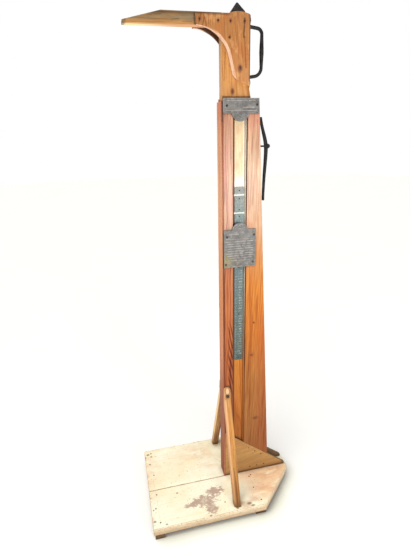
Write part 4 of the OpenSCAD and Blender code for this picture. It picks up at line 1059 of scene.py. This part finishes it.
# Ranges of the draws for the ribs
RIB_START = (0, 5)
RIB_STOP = (0, 4)
RIB_LENGTH = (34, 72)
RIB_SHIFT = (-0.4, 0.4)
RIB_HALF = (1.1, 1.8)
RIB_GAP = (1.6, 3.2)
SHORTEST_RIB = 5
SCREW_CLEAR_X = 6
SCREW_CLEAR_Z = 6.5
LOBE_RINGS = ((4.2, 0.8), (11.5, 0.7))
LOBE_STUDS = 12
STUD_INSET = 7.8
STUD_HALF = 1.3
STUD_TURN = 0.045


def plate(node, material, field, lobe, keep_off, seed):
    """Cast plate: a raised rim, and plain ruled ribs and rings in the sunk field."""
    bm = node_mesh(node)
    face_y = min(v.co.y for v in bm.verts)
    front = [f for f in bm.faces if all(abs(v.co.y - face_y) < 2 * SAME_POINT for v in f.verts)]
    bmesh.ops.inset_region(bm, faces=front, thickness=RIM_WIDTH * MM, depth=-FIELD_DEPTH * MM,
                           use_even_offset=True, use_boundary=True)
    round_edges(bm, 0.3 * MM, 2, 0.6 * MM)
    make_piece(node + "_piece", bm, node, material)

    draw = random.Random(seed)
    base, top = face_y + RELIEF_FOOT * MM, face_y + RELIEF_TOP * MM
    bm = bmesh.new()
    x0, x1, z0, z1 = [v * MM for v in field]
    count = max(2, int((z1 - z0) / (RIB_PITCH * MM)))
    for n in range(count + 1):
        z = z0 + (z1 - z0) * n / count
        x = x0 + draw.uniform(*RIB_START) * MM
        while x < x1 - 8 * MM:
            end = min(x1 - draw.uniform(*RIB_STOP) * MM, x + draw.uniform(*RIB_LENGTH) * MM)
            clear = all(not (x - SCREW_CLEAR_X * MM < cx * MM < end + SCREW_CLEAR_X * MM
                             and abs(z - cz * MM) < SCREW_CLEAR_Z * MM) for cx, cz in keep_off)
            if clear and end - x > SHORTEST_RIB * MM:
                rib(bm, x, end, z + draw.uniform(*RIB_SHIFT) * MM, draw.uniform(*RIB_HALF) * MM, base, top)
            x = end + draw.uniform(*RIB_GAP) * MM
    cx, cz, radius, start, end = lobe
    cx, cz = cx * MM, cz * MM
    for inset, half in LOBE_RINGS:
        ring(bm, cx, cz, (radius - inset) * MM, half * MM, base, top, start, end)
    for n in range(LOBE_STUDS):
        a = start + (end - start) * (n + 0.5) / LOBE_STUDS
        ring(bm, cx, cz, (radius - STUD_INSET) * MM, STUD_HALF * MM, base, top, a - STUD_TURN, a + STUD_TURN)
    bmesh.ops.recalc_face_normals(bm, faces=bm.faces[:])
    make_piece(node + "_relief", bm, node, material, replaces=False, smooth=30)


# Reading of the scale at the frame's origin, and the marks' sizes in millimetres
READING_AT_ZERO = 2682.5
MARK_STEP = 5
MARKS_CLEAR = 3
DIGIT_SIZE = 8
DIGITS_LEFT = 14.5
DIGIT_PITCH = 5
LONG_TICK = 7.5
SHORT_TICK = 4
TICK_INSET = 1
TICK_HALF = 0.45
TICK_FOOT = 0.05
TICK_TOP = 0.08
TACK_HEIGHTS = (1191.3, 1130.5, 1166, 586.5, 760.5, 934.5, 1108.5)
TACK_CLEAR = 6.5
# Turns the flat digits upright, to face the reader
UPRIGHT = Matrix(((1, 0, 0, 0), (0, 0, -1, 0), (0, 1, 0, 0), (0, 0, 0, 1)))


def number_meshes(size):
    """The ten digits as thin flat meshes."""
    made = {}
    for digit in "0123456789":
        curve = bpy.data.curves.new("digit", "FONT")
        curve.body = digit
        curve.size = size
        curve.align_x = "CENTER"
        curve.extrude = 0.05 * MM
        curve.resolution_u = 3
        made[digit] = settled(link("digit", curve))
        bpy.data.curves.remove(curve)
    return made


def scale_marks(node, material, digits):
    """Ticks every 5 mm and the height in centimetres at each 10 mm, on one strip."""
    low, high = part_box(node)
    face = low[1]
    left, right = low[0], high[0]
    bm = bmesh.new()
    first = math.ceil((READING_AT_ZERO - high[2] * 1000 + MARKS_CLEAR) / MARK_STEP)
    last = math.floor((READING_AT_ZERO - low[2] * 1000 - MARKS_CLEAR) / MARK_STEP)
    for step in range(first, last + 1):
        z = (READING_AT_ZERO - step * MARK_STEP) * MM
        whole = step % 2 == 0
        tick = LONG_TICK if whole else SHORT_TICK
        for x0, x1 in ((left + TICK_INSET * MM, left + (TICK_INSET + tick) * MM),
                       (right - (TICK_INSET + tick * 0.4) * MM, right - TICK_INSET * MM)):
            rib(bm, x0, x1, z, TICK_HALF * MM, face + TICK_FOOT * MM, face - TICK_TOP * MM)
        near_tack = any(abs(z * 1000 - tack) < TACK_CLEAR for tack in TACK_HEIGHTS)
        if not whole or near_tack or min(z - low[2], high[2] - z) < 4 * MM:
            continue
        for n, digit in enumerate(str(step // 2)):
            at = Vector((left + (DIGITS_LEFT + n * DIGIT_PITCH) * MM, face - 0.02 * MM,
                         z - DIGIT_SIZE * 0.35 * MM))
            before = len(bm.verts)
            bm.from_mesh(digits[digit])
            bm.verts.ensure_lookup_table()
            for v in bm.verts[before:]:
                v.co = at + (UPRIGHT @ v.co)
    make_piece(node + "_marks", bm, node, material, replaces=False, smooth=30)


# Assembly

make_camera()
make_studio()

STILE = stile_wood()
FRONT = front_wood()
BACK = back_wood()
MAST = mast_wood()
BRACKET = bracket_wood()
ARM = arm_wood()
NEAR_BRACE = brace_wood("golden_brace_near", 20, 4.2)
FAR_BRACE = brace_wood("golden_brace_far", -20, 5.1)
GUSSET = gusset_wood()
BATTEN = batten_wood()
DECK = deck_wood()
IRON = black_iron("black_iron", 0.85)
# A darker copy of the same iron for the lever, painted shade
SHADED_LEVER_IRON = black_iron("shaded_lever_iron", 0.42)
NAIL = nail_iron()
PLATE = plate_metal()
SCREW = screw_steel()
SCALE = scale_enamel()
NUMBERS = number_paint()
STRIPS = ("scale_top", "scale_middle", "scale_main")

# Rounding width and steps, axes and length of the cells, wear, wobble, seed and chips. Millimetres
for row in (
        ("near_plank", DECK, 1.6, 3, "xy", 8, 1.6, 0.4, 1, 11),
        ("far_plank", DECK, 1.6, 3, "xy", 8, 1.6, 0.4, 2, 11),
        ("front_batten", BATTEN, 1.6, 3, "y", 10, 1, 0, 3, 2),
        ("rear_batten", BATTEN, 1.6, 3, "y", 10, 1, 0, 4, 2),
        ("front_board", FRONT, 0.7, 3, "z", 12, 0.6, 0.15, 5),
        ("near_front_stile", STILE, 0.8, 3, "z", 12, 0.7, 0.15, 6),
        ("near_back_stile", STILE, 0.9, 3, "z", 12, 0.8, 0.15, 7),
        ("far_side_board", BACK, 0.9, 3, "z", 12, 0.8, 0.15, 8),
        ("spine", BACK, 0.8, 3, "z", 12, 0.7, 0.15, 9),
        ("foot_block", BACK),
        ("near_gusset", GUSSET, 1, 3, "x", 9, 0.9, 0.15, 11, 1.5),
        ("far_gusset", GUSSET, 1, 3, "x", 9, 0.9, 0.15, 12, 1.5),
        ("near_brace", NEAR_BRACE, 1.8, 4, "z", 9, 1.2, 0.3, 13, 1.5),
        ("far_brace", FAR_BRACE, 1.8, 4, "z", 9, 1.2, 0.3, 14, 1.5),
        ("mast", MAST, 0.9, 3, "z", 12, 0.6, 0.1, 15),
        ("arm", ARM, 1.2, 3, "x", 8, 1.2, 0.3, 16, 1.5),
        ("near_cheek", BRACKET, 0.7),
        ("far_cheek", BRACKET, 0.7),
        ("cap", IRON, 0.8, 3, "z", 8, 0.6, 0.4, 25),
        ("lever_pin", SHADED_LEVER_IRON, 0.4, 2)):
    refined(*row)

# Size of the skin's cells, swell, depth of the dents and seed
for row in (("handle", IRON, 0.8, 1.6, 0.3, 21), ("lock_lever", SHADED_LEVER_IRON, 0.7, 1.1, 0.3, 22),
            ("lever_bracket", SHADED_LEVER_IRON, 0.4, 0.1, 0.12, 23)):
    forged(*row)

# Field of the ribs, middle, radius and turn of the lobe, and the screws to keep off
plate("upper_plate", PLATE, (-88, 10, 1426, 1453), (-41.25, 1423.5, 24, math.pi * 1.06, math.pi * 1.94),
      ((-83.5, 1439), (10, 1441.5)), 31)
plate("lower_plate", PLATE, (-88, 7, 948, 1052), (-41.25, 1061.5, 24, math.pi * 0.04, math.pi * 0.96),
      ((-84.5, 1045), (8, 1047), (-89, 951), (5, 954.5)), 32)

for strip in STRIPS:
    refined(strip, SCALE, 0.25, 2)
DIGITS = number_meshes(DIGIT_SIZE * MM)
for strip in STRIPS:
    scale_marks(strip, NUMBERS, DIGITS)

for row in (("platform_nails", NAIL, "z", NAIL_PROFILE, 41), ("gusset_nails", NAIL, "y", NAIL_PROFILE, 42),
            ("cheek_nails", NAIL, "y", NAIL_PROFILE, 43), ("upper_plate_screws", SCREW, "y", SCREW_PROFILE, 44),
            ("lower_plate_screws", SCREW, "y", SCREW_PROFILE, 45),
            ("scale_tacks", SCREW, "y", NAIL_PROFILE, 46)):
    fasteners(*row)
refined("handle_nails", IRON, 0.3, 2, shortest=0.3)
refined("brace_screws", SCREW, 0.3, 2, shortest=0.3)
